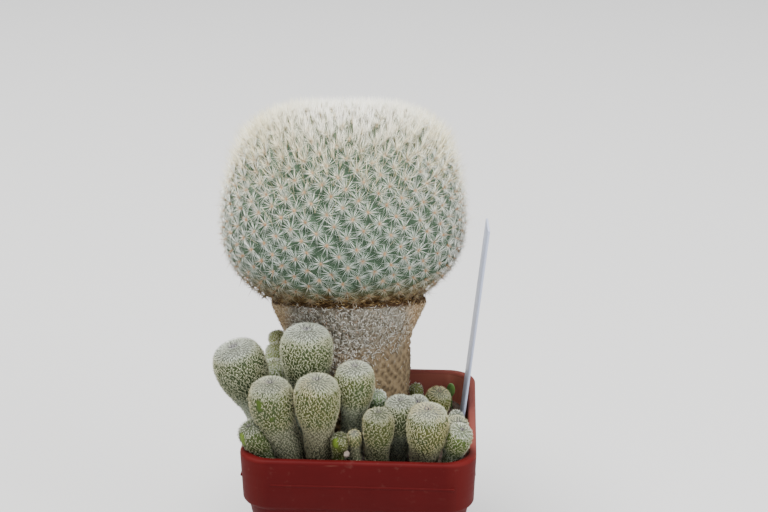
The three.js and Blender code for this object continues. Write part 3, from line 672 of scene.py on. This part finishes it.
# The neck ring: brown fibres that lie round the stem where the head grows out of it
angle = stem_draw.uniform(0, 2 * math.pi, NECK_FIBRES)
below = stem_draw.uniform(-2.4, 1.5, NECK_FIBRES)
r = np.interp(below, [-2.4, -1.2, -0.3, 0.5, 1.8], [25.4, 24.4, 23.6, 23.9, 24.0])
r = r + stem_draw.uniform(-0.35, 0.25, NECK_FIBRES)
level = np.tile([1.0, 0.0], (NECK_FIBRES, 1))
outward, upward, sideways = main_line.frame(level, NECK - below, angle)
handed = stem_draw.choice([-1.0, 1.0], NECK_FIBRES)[:, None]
roots = main_line.around(r, NECK - below, angle)
roots += HEAD_SHIFT * np.interp(below, [-2.4, 0.5], [1, 0])[:, None]
aims = sideways * handed + upward * stem_draw.normal(0, 0.4, (NECK_FIBRES, 1)) + outward * 0.14
ring = bristle_piece(
    "neck_fibres", roots, aims, outward * -0.12, stem_draw.uniform(1.2, 3.6, NECK_FIBRES),
    stem_draw.uniform(0.07, 0.15, NECK_FIBRES), tone=stem_draw.uniform(size=NECK_FIBRES),
)
husk = Finish("neck_fibres", Roughness=0.8, Specular_IOR_Level=0.2)
tone = husk.values("tone")[0]
colour = husk.layered(
    husk.mixed(tone, (0.06, 0.031, 0.012), (0.31, 0.185, 0.065)),
    (tone.ramp(0.7, 0.9), (0.52, 0.37, 0.17)),
    (husk.noise(500) * 0.4, (0.09, 0.048, 0.02)),
)
dress(ring, husk.finish(colour), "main_stem")

# The main head
# The living head: a blue-green ball of small tubercles in spirals, each with a tan woolly
# areole and a flat star of white spines. Higher up the spines stand up and turn cream.

HEAD_GRID = (160, 290)
HEAD_AREOLES = 660
STAR_RAYS = 36
INNER_SPINES = 7
BUNCHES = 2500
BUNCH_SPINES = 12
AREOLE_LIFT = 1.2
HEAD_COAT = 0.7
HEAD_MIDDLE = -7.4
CROWN_MIDDLE = -5.0
HEAD_OUTLINE = [
    (22.4, -0.6), (23.4, 0.4), (26.4, 3), (30.8, 7), (34.5, 12), (36.7, 17.5), (37.3, 23.5),
    (36.8, 30), (35.3, 37), (32.8, 43.6), (29.6, 49.2), (25.3, 53.4), (19.5, 56.2), (12, 57.2),
    (5, 56.6), (0, 56.2),
]
head_line = StemLine(*(corner + HEAD_SHIFT for corner in main_line.corners))
head_outline = Outline([(max(r - HEAD_COAT, 0), h + NECK) for r, h in HEAD_OUTLINE])
head_draw = np.random.default_rng(8)
r, h, out, angle = head_outline.spiral(HEAD_AREOLES)
angle = angle + head_draw.normal(0, 0.012, HEAD_AREOLES)
areoles = head_line.around(r, h, angle)
outward, upward, sideways = head_line.frame(out, h, angle)


def tubercle_rise(far):
    return 1.4 * np.clip(1 - far / 2.7, 0, 1) ** 0.85 - 0.4


def climbed(h, start, reach, times):
    """How far each height is up a reach that starts above the neck, for all spines of its tuft."""
    return np.clip((h - NECK - start) / reach, 0, 1).repeat(times)


def for_tufts(times, *arrays):
    """Each row of the arrays as many times over as a tuft has spines."""
    return [rows.repeat(times, axis=0) for rows in arrays]


points, faces, values = skin_of(head_line, head_outline, *HEAD_GRID, areoles, tubercle_rise)
head = mesh_piece("head_skin", points, faces, values)

flesh = Finish("head_flesh", Roughness=0.6, Specular_IOR_Level=0.15)
climb, bump = flesh.values("climb", "bump")
raised = bump.ramp(-0.4, 1.0)
husky = (climb - flesh.aside(HEAD_MIDDLE) * 2.2).ramp(0.085, 0.0)
mist = flesh.noise(220, 3)
pores = flesh.noise(2600, 3)
green = flesh.layered(
    # The skin's own blue-green kept dark and lighter only on the tubercles: the dark hollows are painted
    # shade under the spines
    flesh.mixed(mist, (0.022, 0.043, 0.024), (0.056, 0.092, 0.055)),
    (raised * 0.6, (0.105, 0.155, 0.1)),
    (climb.ramp(0.6, 0.8) * 0.85, (0.11, 0.105, 0.055)),
    (climb.ramp(0.78, 0.9) * 0.85, (0.52, 0.46, 0.3)),
    (husky * 0.9, (0.105, 0.07, 0.026)),
)
dress(head, flesh.finish(green, height=pores, depth=0.15), "main_head")

# Woolly areoles: a low tan tuft on the tip of each tubercle
tufts = []
for i in range(HEAD_AREOLES):
    size = head_draw.uniform(0.32, 0.58)
    lump = pebble_points * [size, size * 1.15, 0.5] @ np.array([sideways[i], upward[i], outward[i]])
    tufts.append(lump + areoles[i] + outward[i] * 1.15)
wool = lumps_piece("head_areoles", tufts, tone=head_draw.uniform(size=HEAD_AREOLES), low=h - NECK)
felt = Finish("areole_wool", Roughness=0.95)
tone, low = felt.values("tone", "low")
colour = felt.layered(
    felt.mixed(tone, (0.28, 0.135, 0.05), (0.46, 0.3, 0.145)),
    (tone.ramp(0.75, 1.0) * 0.7, (0.36, 0.18, 0.06)),
    (low.ramp(37.0, 46.0) * 0.9, (0.78, 0.68, 0.46)),
    (low.ramp(8.0, 4.0) * 0.85, (0.13, 0.075, 0.03)),
    (felt.noise(1800) * 0.3, (0.55, 0.42, 0.27)),
)
dress(wool, felt.finish(colour, height=felt.noise(4000)), "main_head")

# Star spines: three dozen to an areole, flat and white below, lifting and turning up higher on
count = HEAD_AREOLES * STAR_RAYS
climb = climbed(h, 22, 30, STAR_RAYS)
tuft = head_draw.uniform(-0.12, 0.12, HEAD_AREOLES).repeat(STAR_RAYS)
turn = (np.arange(count) % STAR_RAYS) / STAR_RAYS * 2 * math.pi
turn = (turn + head_draw.normal(0, 0.16, count))[:, None]
out_all, up_all, side_all, roots = for_tufts(STAR_RAYS, outward, upward, sideways, areoles)
lift = (0.28 + tuft + 0.7 * climb + head_draw.normal(0, 0.17, count))[:, None]
aims = up_all * (np.cos(turn) + 0.55 * climb[:, None]) + side_all * np.sin(turn) + out_all * lift
lengths = (4.5 + 1.3 * climb) * head_draw.uniform(0.6, 1.12, count)
lengths *= np.interp(h.repeat(STAR_RAYS) - NECK, [1, 5], [0.5, 1])
stars = bristle_piece(
    "head_spines", roots + out_all * AREOLE_LIFT, aims,
    out_all * head_draw.uniform(-0.2, 0.02, (count, 1)) + side_all * head_draw.normal(0, 0.05, (count, 1)),
    lengths, head_draw.uniform(0.052, 0.078, count),
    tone=head_draw.uniform(size=count), crown=climb, low=h.repeat(STAR_RAYS) - NECK,
)
ivory = Finish("star_spines", Roughness=0.45)
along, tone, crown, low = ivory.values("along", "tone", "crown", "low")
x = ivory.axes()[0]
aside = ivory.aside(HEAD_MIDDLE)
foot = along.ramp(0.36, 0.02) * (1 - crown * 0.7)
browned = (low + tone * 4.0 - aside * 150.0).ramp(9.5, 3.5)
lit = low.ramp(12.0, 26.0) * 0.4 + aside.ramp(0.016, 0.032) * 0.6 + x.ramp(0.004, 0.026) * 0.4
white = ivory.layered(
    ivory.mixed(tone, (0.52, 0.61, 0.53), (0.88, 0.98, 0.92)),
    (crown * (0.6 + x.ramp(-0.005, -0.03) * 0.35), (0.76, 0.7, 0.43)),
    (crown * tone.ramp(0.5, 0.2) * 0.8, (0.28, 0.27, 0.15)),
    (foot * 0.8, (0.49, 0.33, 0.185)),
    (lit * along.ramp(0.1, 0.5), (0.97, 1.0, 0.92)),
    (browned * 0.9, (0.27, 0.195, 0.075)),
    (ivory.noise(500) * 0.15, (0.45, 0.38, 0.24)),
)
dress(stars, ivory.finish(white), "main_head")

# Inner spines: shorter, tan at the foot, standing out of the middle of each star
count = HEAD_AREOLES * INNER_SPINES
climb = climbed(h, 22, 30, INNER_SPINES)
turn = head_draw.uniform(0, 2 * math.pi, (count, 1))
out_all, up_all, side_all, roots = for_tufts(INNER_SPINES, outward, upward, sideways, areoles)
reach = head_draw.uniform(0.2, 1.1, (count, 1))
aims = out_all + reach * (up_all * (np.cos(turn) + 0.5 * climb[:, None]) + side_all * np.sin(turn))
lengths = head_draw.uniform(0.9, 2.2, count) + 2.2 * climb * head_draw.uniform(0, 1, count)
lengths += np.where(head_draw.uniform(size=count) < 0.08, head_draw.uniform(1, 2.6, count), 0)
centrals = bristle_piece(
    "central_spines", roots + out_all * AREOLE_LIFT, aims, up_all * 0.05, lengths, np.full(count, 0.1),
    tone=head_draw.uniform(size=count), crown=climb, low=h.repeat(INNER_SPINES) - NECK,
)
amber = Finish("central_spines", Roughness=0.5)
along, tone, crown, low = amber.values("along", "tone", "crown", "low")
colour = amber.layered(
    amber.mixed(along, (0.46, 0.23, 0.11), (0.68, 0.54, 0.38)),
    (tone.ramp(0.72, 1.0) * 0.8, (0.3, 0.15, 0.05)),
    (crown * (along * 0.4 + 0.5), (0.82, 0.72, 0.5)),
    (low.ramp(8.0, 4.0) * 0.85, (0.14, 0.085, 0.03)),
    (amber.noise(600) * 0.2, (0.8, 0.72, 0.6)),
)
dress(centrals, amber.finish(colour), "main_head")

# Upper spines: white and cream ones that stand up over the shoulders and thatch the crown
r, h, out, angle = head_outline.spiral(BUNCHES, low=0.3)
angle = angle + head_draw.normal(0, 0.05, BUNCHES)
outward, upward, sideways = head_line.frame(out, h, angle)
count = BUNCHES * BUNCH_SPINES
near = climbed(h, 40, 13, BUNCH_SPINES)
turn = head_draw.uniform(0, 2 * math.pi, (count, 1))
straight = head_line.at(h)[1]
out_all, up_all, side_all, straight = for_tufts(BUNCH_SPINES, outward, upward, sideways, straight)
spread = head_draw.uniform(0.1, 0.75, (count, 1))
aims = out_all + straight * (0.7 + 0.3 * near[:, None])
aims += spread * (up_all * np.cos(turn) + side_all * np.sin(turn))
share = climbed(h, 22, 28, BUNCH_SPINES)
kept = head_draw.uniform(size=count) < 0.02 + 0.98 * share**2.3
roots = head_line.around(r, h, angle).repeat(BUNCH_SPINES, axis=0) + out_all * 0.3
shoulder = np.clip(1 - np.abs(h - NECK - 47) / 9, 0, 1).repeat(BUNCH_SPINES)
lengths = (4.7 - 0.3 * near + 1.3 * shoulder) * head_draw.uniform(0.5, 1.32, count)
thatch = bristle_piece(
    "crown_spines", roots[kept], aims[kept], up_all[kept] * 0.1, lengths[kept],
    head_draw.uniform(0.07, 0.1, kept.sum()), tone=head_draw.uniform(size=kept.sum()), near=near[kept],
)
floss = Finish("crown_spines", Roughness=0.5)
along, tone, near = floss.values("along", "tone", "near")
# A painted highlight: the spines round the middle of the crown top turn near white
crown_highlight = floss.aside(CROWN_MIDDLE).ramp(0.027, 0.008) * near
colour = floss.layered(
    floss.mixed(tone, (0.58, 0.5, 0.25), (0.9, 0.85, 0.62)),
    (tone.ramp(0.5, 0.2) * 0.8, (0.28, 0.25, 0.12)),
    (crown_highlight * 0.85, (1.0, 0.99, 0.95)),
    (along.ramp(0.5, 0.0) * 0.4, (0.66, 0.52, 0.32)),
    (floss.noise(400) * 0.15, (0.7, 0.6, 0.4)),
)
dress(thatch, floss.finish(colour), "main_head")

# The offsets
# Young plants that grow round the stem: little clubs with a sunken crown, green under a net of
# very fine short white spines, pale where they ray out from the crown and grey at the foot.

# name, root x and y, head centre x, y and z, head radius, neck radius, how fresh a green (0 to 1), how
# yellow (0 to 1), and how much darker (1), or how much lighter as painted light for plants in shade at the
# back (-1)
OFFSETS = [
    ("left_outer", -26, -9.5, -36.1, -14, 85, 8.2, 4.4, 0.1, 0.2, 0.12),
    ("left_tall", -16.5, -13.2, -15.7, -17, 91.9, 8, 4.6, 0.15, 0.25, 0.05),
    ("left_front", -20.6, -21, -25.2, -27, 80.1, 6.8, 5.2, 0.3, 0.56, 0.35),
    ("middle_front", -11.5, -22.2, -11.7, -28, 81.8, 6.9, 4.7, 0.25, 0.75, 0.28),
    ("middle_tall", -2.5, -16.5, -1.2, -21, 83.8, 6.1, 3.9, 0.25, 0.42, 0.0),
    ("right_slim", 5.2, -23.5, 6.2, -28, 73.5, 4.9, 3.7, 0.5, 0.7, 0.75),
    ("right_inner", 11.3, -17, 12.4, -23, 75, 5.2, 3.5, 0.2, 0.2, 0.42),
    ("right_behind", 15.8, -9.5, 17, -15, 72.6, 4.2, 3.2, 0.05, 0.25, 0.2),
    ("right_large", 19.2, -21, 20.5, -27, 73.3, 6.4, 4.6, 0.1, 0.8, 0.0),
    ("corner_right", 27.2, -24, 29.6, -26.5, 69, 4.3, 3, 0.75, 0.35, 0.15),
    ("right_edge", 27.2, -14.5, 28.9, -18, 67.7, 4, 2.9, 0.3, 0.8, 0.35),
    ("right_grey", 27.2, -6, 28.8, -7, 66, 2.6, 2, 0, 0.3, 0.4),
    ("back_right", 22, 4.5, 23, 3, 67.3, 4.3, 3.2, 0.4, 1.0, 0.45),
    ("back_green", 16.2, 20, 15.7, 19.5, 62.8, 2.7, 1.9, 0.8, 0.5, -1.0),
    ("corner_left", -27.2, -24.5, -30.5, -26.8, 68.4, 4.9, 3.3, 0.85, 0.3, 0.75),
    ("front_green", -6, -26.8, -5, -29, 68, 3, 2.2, 1.0, 0.6, 0.9),
    ("front_pale", -0.6, -27, -0.8, -29, 69.5, 2.4, 1.8, 0.3, 0.9, 0.3),
    ("by_stem", 5, -14.8, 5.2, -16, 76, 3, 2.2, 0.9, 0.1, 0.0),
    ("back_olive", -26.5, 22.5, -29.8, 24, 78.2, 3.2, 2.8, 0.45, 0.9, -1.0),
    ("back_pale", -27, 13.2, -28.5, 14, 77, 4.2, 2.9, 0.7, 0, -1.0),
    ("back_low", -27.2, 3.8, -28, 2, 76.5, 4, 2.9, 0.4, 0, -0.6),
    ("hidden_left", -14, 26.4, -15, 29, 71, 4.2, 2.9, 0.3, 0.2, 0.2),
    ("hidden_middle", 3, 27, 3.5, 30.5, 73, 4.4, 3, 0.3, 0.3, 0.2),
]
OFFSET_TAPER = 1.8
BEND_HEIGHTS = (0.23, 0.57)
UPRIGHT = (0, 0.88)
LEANING = (0, 0.33)
SWEPT_OUT = (0.36, 0.68)
UPRIGHT_ONES = (
    "left_tall", "left_front", "middle_front", "middle_tall", "right_slim", "right_inner", "right_large",
)
OFFSET_BENDS = {"left_outer": SWEPT_OUT, **dict.fromkeys(UPRIGHT_ONES, UPRIGHT)}
OFFSET_FOOT_SHARE = 0.84
CLUB_HEAD = [(1, -0.05), (0.96, 0.35), (0.78, 0.69), (0.47, 0.86), (0.2, 0.82), (0.09, 0.74), (0, 0.72)]
AREOLE_AREA = 0.85
NEEDLES_EACH = 5
COAT = 0.5
SKIN_STEP = 0.55
CROWN_START = 0.86
CROWN_EXTRA = 0.2
PRESS_STEPS = 24
PRESS_PULL = 0.05
PLANT_GAP = 0.15
WALL_GAP = 0.6
OFFSET_SLOTS = ("offset_skin", "offset_green", "offset_pale")
BARE_SPOTS = [
    (-28.1, -33.0, 81.3, 1.5), (-28.1, -33.1, 79.7, 1.4), (-24.5, -33.3, 76.5, 1.0),
    (-33.5, -29.7, 69.0, 1.6), (-33.5, -29.8, 67.3, 1.4),
    (-6.4, -31.3, 69.3, 1.3), (-6.4, -31.5, 67.8, 1.3),
]


def club_outline(length, radius, neck):
    """The outline of a club-shaped plant, less the depth of its coat of spines."""
    foot = neck * OFFSET_FOOT_SHARE
    swell = max(length - OFFSET_TAPER * radius, 0.15 * length)
    pairs = [
        (foot, -2.5), (foot, 0), (neck, swell * 0.5), (neck * 1.02, swell),
        (neck + 0.42 * (radius - neck), length - 1.2 * radius),
        (neck + 0.86 * (radius - neck), length - 0.6 * radius),
    ]
    pairs += [(across * radius, length + up * radius) for across, up in CLUB_HEAD]
    return Outline([(max(r - COAT, 0.6 * r), h - 0.5 * COAT * (h > length)) for r, h in pairs])


def balls_of(line, outline):
    """Balls along a stem that stand for its body when plants are kept apart."""
    return line.at(outline.h[::16])[0], outline.r[::16]


def clearance(balls, points):
    centres, radii = balls
    return (np.linalg.norm(points[:, None, :] - centres[None], axis=2) - radii).min(1)


def pressed(points, balls, others):
    """The points, drawn in to their own plant wherever a neighbour or the pot is too near."""
    near = [other for other in others if clearance(other, points).min() < 3]
    centres = balls[0]
    nearest = centres[np.linalg.norm(points[:, None, :] - centres[None], axis=2).argmin(1)]
    for _ in range(PRESS_STEPS):
        mine = clearance(balls, points)
        crowded = np.zeros(len(points), bool)
        for other in near:
            crowded |= clearance(other, points) < mine + PLANT_GAP
        half = np.interp(points[:, 2], [45, 64], [31.2, 32.6]) - WALL_GAP
        crowded |= (points[:, 2] < 64.3) & (np.abs(points[:, :2]).max(1) > half)
        if not crowded.any():
            break
        points[crowded] += (nearest[crowded] - points[crowded]) * PRESS_PULL
    return points


def offset_rise(far):
    return 0.25 * np.clip(1 - far / 0.65, 0, 1) - 0.05


def bareness(points):
    """How far each point is inside one of the bare green spots: 1 at its middle, 0 outside it."""
    spots = np.array(BARE_SPOTS)
    far = np.linalg.norm(points[:, None, :] - spots[None, :, :3], axis=2)
    return np.clip(2.2 * (1 - far / spots[:, 3]), 0, 1).max(1)


def offset_flesh(name, pale):
    young = Finish(name, Roughness=0.6, Specular_IOR_Level=0.15)
    level, rim, fresh, yellow, dark, spots = young.values("level", "rim", "fresh", "yellow", "dark", "bare")
    gilt = yellow * young.noise(260, 3).ramp(0.35, 0.6) * level.ramp(-1.5, -0.9)
    # Pale grey-green low on the neck: the neck's own grey, made paler still as painted light on these shaded
    # lower parts
    foot = young.mixed(yellow.ramp(0.35, 0.65), (0.28, 0.31, 0.235), (0.18, 0.16, 0.11))
    bare = young.mixed(fresh, (0.026, 0.05, 0.006), (0.105, 0.16, 0.016))
    green = young.layered(
        # The skin's own green, made darker as painted shade under the spines
        young.mixed(fresh, (0.034, 0.047, 0.023), (0.072, 0.118, 0.022)),
        (gilt * 0.8, (0.085, 0.088, 0.018)),
        ((fresh * yellow).ramp(0.3, 0.6), (0.155, 0.18, 0.022)),
        (level.ramp(-0.9, -1.6) * (1 - fresh) * 0.8, foot),
        ((1 - yellow) * (pale * 0.7), (0.2, 0.29, 0.16)),
        (rim.ramp(0.84, 0.72) * (0.85 - fresh * 0.35), (0.125, 0.13, 0.11)),
        (rim.ramp(0.26, 0.14) * 0.85, (0.05, 0.044, 0.058)),
        (dark * 0.8, (0.02, 0.024, 0.01)),
        # painted light: a negative value lightens a whole plant that stands in shade at the back
        (dark.ramp(0.0, -1.0) * 0.6, (0.3, 0.33, 0.12)),
        (spots, bare),
    )
    return young.finish(green, height=young.noise(2600, 3), depth=0.2)


def offset_needles(name, pale):
    fine = Finish(name, Roughness=0.5)
    level, rim, tone, yellow, dark, along = fine.values("level", "rim", "tone", "yellow", "dark", "along")
    # Pale grey low on the neck: the needles' own colour, made paler still as painted light on these shaded
    # lower parts
    foot = fine.mixed(yellow.ramp(0.35, 0.65), (0.64, 0.69, 0.57), (0.43, 0.4, 0.285))
    top = fine.mixed(yellow, (0.72, 0.8, 0.79), (0.68, 0.67, 0.42))
    sunned = fine.noise(120, 2).ramp(0.5, 0.64) * (yellow * 0.5) * level.ramp(-1.6, -1.0)
    white = fine.layered(
        fine.mixed(tone, (0.28, 0.31, 0.195), (0.73, 0.765, 0.56)),
        (yellow * level.ramp(0.6, 0.2) * 0.6, (0.56, 0.48, 0.19)),
        (level.ramp(-0.9, -1.6) * 0.7, foot),
        (rim.ramp(0.86, 0.74) * 0.65, top),
        (rim.ramp(0.24, 0.1) * 0.75, (0.2, 0.18, 0.21)),
        ((1 - yellow) * (pale * 0.75), (0.82, 0.88, 0.79)),
        (sunned, (0.52, 0.4, 0.15)),
        (dark * 0.6, (0.16, 0.165, 0.085)),
        # painted light: a negative value lightens the needles of a plant that stands in shade at the back
        (dark.ramp(0.0, -1.0) * 0.8, (0.95, 0.97, 0.8)),
        (along.ramp(0.5, 0.0) * 0.4, (0.22, 0.21, 0.12)),
        (fine.noise(450) * 0.2, (0.3, 0.27, 0.17)),
    )
    return fine.finish(white)


flesh_looks = {name: offset_flesh(name + "_flesh", name == "offset_pale") for name in OFFSET_SLOTS}
needle_looks = {name: offset_needles(name + "_spines", name == "offset_pale") for name in OFFSET_SLOTS}

plants = []
for which, root_x, root_y, x, y, z, radius, neck, *colouring in OFFSETS:
    root, centre = np.array([root_x, root_y, STEM_START]), np.array([x, y, z])
    shares = zip(OFFSET_BENDS.get(which, LEANING), BEND_HEIGHTS)
    bends = [root + (centre - root) * (out, out, up) for out, up in shares]
    line = StemLine(root, *bends, centre)
    plants.append(("offset_" + which, line, club_outline(line.length, radius, neck), colouring))
balls = [balls_of(line, outline) for _, line, outline, _ in plants]
stem_balls = balls_of(main_line, stem_outline)
slots = {part["node"]: part["material_slot"] for part in frame["record"]["subparts"]}

for i, (name, line, outline, (fresh, yellow, dark)) in enumerate(plants):
    draw = np.random.default_rng(100 + i)
    others = balls[:i] + balls[i + 1:] + [stem_balls]
    size = outline.r.max()
    count = int(2 * math.pi * outline.area[-1] / AREOLE_AREA)
    crowd = int(count * CROWN_EXTRA)
    places = [outline.spiral(count, low=0.0), outline.spiral(crowd, low=CROWN_START)]
    r, h, out, angle = (np.concatenate(both) for both in zip(*places))
    count += crowd
    angle = angle + draw.normal(0, 0.12, count) / np.maximum(r, 1)
    middles = pressed(line.around(r, h, angle), balls[i], others)
    rows = int(outline.run[-1] / SKIN_STEP)
    columns = int(2 * math.pi * size / SKIN_STEP)
    points, faces, values = skin_of(line, outline, rows, columns, middles, offset_rise)
    points = pressed(points, balls[i], others)
    values["level"] = (values.pop("high") - line.length) / size
    values["rim"] = np.where(values["level"] > 0.3, values.pop("wide") / size, 1)
    for key, number in (("fresh", fresh), ("yellow", yellow), ("dark", dark)):
        values[key] = np.full(len(points), number)
    values["bare"] = bareness(points)
    body = mesh_piece(name + "_skin", points, faces, values)
    dress(body, flesh_looks[slots[name]], name)

    total = count * NEEDLES_EACH
    outward, upward, sideways, roots = for_tufts(NEEDLES_EACH, *line.frame(out, h, angle), middles)
    level = ((h - line.length) / size).repeat(NEEDLES_EACH)
    rim = np.where(level > 0.3, r.repeat(NEEDLES_EACH) / size, 1)
    crown = np.clip((0.86 - rim) / 0.14, 0, 1)[:, None]
    turn = draw.uniform(0, 2 * math.pi, (total, 1))
    rayed = draw.normal(0, 0.32, (total, 1)) + math.pi
    turn = np.where(draw.uniform(size=(total, 1)) < crown, rayed, turn)
    aims = upward * np.cos(turn) + sideways * np.sin(turn) * 0.62
    aims += outward * (0.5 + draw.normal(0, 0.15, (total, 1)))
    lengths = (draw.uniform(0.6, 1.15, total) + 0.35 * crown[:, 0]) * min(1, 0.5 + size / 9)
    kept = (bareness(roots) < 0.3) & (draw.uniform(size=total) > 0.4 * fresh)
    coat = bristle_piece(
        name + "_spines", (roots + outward * 0.1)[kept], aims[kept], outward[kept] * -0.08, lengths[kept],
        (0.1 - 0.04 * crown[:, 0])[kept], tone=draw.uniform(size=kept.sum()),
        level=level[kept], rim=rim[kept], yellow=np.full(kept.sum(), yellow), dark=np.full(kept.sum(), dark),
    )
    dress(coat, needle_looks[slots[name]], name)

# The seedling
# A bright green seedling between the label and the back wall: one rounded upright leaf on a
# short tapered stalk, both leaning a little to the front.

LEAF_PLACE = (27, 20.3, 62.89)
LEAF_HALVES = (1.4, 0.5, 3.0)
LEAF_LEAN = math.radians(18)
STALK_PLACE = (27, 21.6, 56)
STALK_LENGTH = 11
STALK_RADII = (0.8, 0.45)
STALK_LEAN = math.radians(7)

bpy.ops.object.select_all(action="DESELECT")
bpy.ops.mesh.primitive_uv_sphere_add(segments=20, ring_count=12, radius=MM)
leaf = bpy.context.object
leaf.name = "seedling"
leaf.scale = LEAF_HALVES
leaf.location = [c * MM for c in LEAF_PLACE]
leaf.rotation_euler = (LEAF_LEAN, 0, 0)
settle(leaf)
bpy.ops.mesh.primitive_cone_add(
    vertices=12, radius1=STALK_RADII[0] * MM, radius2=STALK_RADII[1] * MM, depth=STALK_LENGTH * MM,
    location=[c * MM for c in STALK_PLACE], rotation=(STALK_LEAN, 0, 0),
)
stalk = bpy.context.object
settle(stalk)
select_only(leaf, stalk)
bpy.ops.object.join()
select_only(leaf)
bpy.ops.object.shade_smooth_by_angle(angle=math.radians(60))
blade = Finish(
    "seedling_leaf", Roughness=0.4, Subsurface_Weight=0.15, Subsurface_Radius=(0.002, 0.004, 0.001),
)
veins = blade.noise(700, 3, stretch=(2, 1, 0.5))
colour = blade.mixed(veins, (0.07, 0.14, 0.035), (0.15, 0.27, 0.075))
dress(leaf, blade.finish(colour, height=veins, depth=0.1), "sprout")

# The label
# A blank stake of thin white plastic, cut to a point at its foot. It is pushed into the soil by
# the right wall, and leans out over it a little.

LABEL_SIZE = (13, 0.7, 86.5)
LABEL_POINT = 7.0
LABEL_TIP_SHARE = 0.06
LABEL_FOOT = (30.4, 9, 56)
LABEL_BURIED = 19.0
LABEL_LEAN = math.radians(6.05)
LABEL_TURN = math.radians(-2)

bpy.ops.object.select_all(action="DESELECT")
bpy.ops.mesh.primitive_cube_add(size=MM)
label = bpy.context.object
label.name = "plant_label_stake"
label.scale = LABEL_SIZE
settle(label)
for vertex in label.data.vertices:
    if vertex.co.z < 0:
        vertex.co.z += LABEL_POINT * MM
bpy.ops.object.mode_set(mode="EDIT")
bpy.ops.mesh.select_all(action="DESELECT")
bpy.ops.object.mode_set(mode="OBJECT")
for face in label.data.polygons:
    face.select = face.normal.z < -0.9
bpy.ops.object.mode_set(mode="EDIT")
bpy.ops.mesh.extrude_region_move(TRANSFORM_OT_translate={"value": (0, 0, -LABEL_POINT * MM)})
bpy.ops.transform.resize(value=(LABEL_TIP_SHARE, 1, 1), center_override=(0, 0, 0))
bpy.ops.object.mode_set(mode="OBJECT")
apply_modifier(label, "BEVEL", width=0.18 * MM, segments=2, limit_method="ANGLE")
label.location.z = (LABEL_SIZE[2] / 2 - LABEL_BURIED) * MM
settle(label)
label.rotation_euler = (0, 0, math.pi / 2 - LABEL_TURN)
settle(label)
label.rotation_euler = (0, LABEL_LEAN, 0)
label.location = [c * MM for c in LABEL_FOOT]
settle(label)
bpy.ops.object.shade_smooth_by_angle(angle=math.radians(30))
card = Finish("label_plastic", Roughness=0.35, Subsurface_Weight=0.1, Subsurface_Radius=(0.002,) * 3)
grime = card.noise(300, 4)
marks = card.noise(180, 3, stretch=(1, 1, 5))
soiled = grime.ramp(0.5, 0.8) * card.axes()[2].ramp(0.075, 0.056)
colour = card.layered(
    # The white plastic painted a darker blue-grey: painted shade with a blue cast
    card.mixed(marks * 0.25, (0.38, 0.42, 0.56), (0.34, 0.37, 0.47)),
    (soiled * 0.6, (0.35, 0.28, 0.22)),
)
plain = card.finish(colour, roughness=marks * 0.2 + 0.3, height=marks, depth=0.05)
dress(label, plain, "plant_label")

# The studio
# A plain pale floor that runs back out of sight, soft light from all round, and the camera as
# fitted to the photo: 41 cm in front of the pot's middle, 26 cm up, looking down by 19 degrees.

FLOOR_SIZE = 12
SKY_COLOUR = (0.93, 0.96, 1.0)
SKY_STRENGTH = 0.93
LIT_PLACE = (0, 0, 0.1)
LENS_LENGTH = 67.09
FILM_WIDTH = 36
CAMERA_PLACE = (0.02777, -0.40626, 0.25553)
CAMERA_AIM = (-0.04984, 0.94431, -0.32525)

bpy.ops.object.select_all(action="DESELECT")
bpy.ops.mesh.primitive_plane_add(size=FLOOR_SIZE, location=(0, 3, 0))
floor = bpy.context.object
floor.name = "studio_floor"
paper = Finish("studio_floor", Roughness=0.9)
cloud = paper.noise(1.3, 2)
# The floor painted darker from about 3 m behind the pot to the front: painted shade
depth = paper.axes()[1].ramp(-0.1, 0.6)
pale = paper.layered(
    paper.mixed(cloud, (0.8, 0.795, 0.79), (0.85, 0.85, 0.855)),
    ((1 - depth) * 0.9, (0.5, 0.5, 0.5)),
)
floor.data.materials.append(paper.finish(pale))

world = bpy.data.worlds.new("studio_light")
world.use_nodes = True
sky = world.node_tree.nodes["Background"]
sky.inputs["Color"].default_value = (*SKY_COLOUR, 1)
sky.inputs["Strength"].default_value = SKY_STRENGTH
bpy.context.scene.world = world


def soft_light(name, place, size, power, colour):
    lamp = bpy.data.lights.new(name, "AREA")
    lamp.shape = "DISK"
    lamp.size = size
    lamp.energy = power
    lamp.color = colour
    holder = bpy.data.objects.new(name, lamp)
    bpy.context.scene.collection.objects.link(holder)
    towards = Vector(LIT_PLACE) - Vector(place)
    holder.location = place
    holder.rotation_euler = towards.to_track_quat("-Z", "Y").to_euler()


soft_light("overhead_light", (-0.35, -0.35, 2.6), size=2.0, power=196, colour=(1.0, 0.98, 0.95))
soft_light("side_light", (1.0, -0.6, 0.6), size=0.8, power=12.5, colour=(0.97, 0.98, 1.0))

lens = bpy.data.cameras.new("photo_camera")
lens.lens = LENS_LENGTH
lens.sensor_width = FILM_WIDTH
camera = bpy.data.objects.new("photo_camera", lens)
bpy.context.scene.collection.objects.link(camera)
camera.location = CAMERA_PLACE
camera.rotation_euler = Vector(CAMERA_AIM).to_track_quat("-Z", "Y").to_euler()
bpy.context.scene.camera = camera
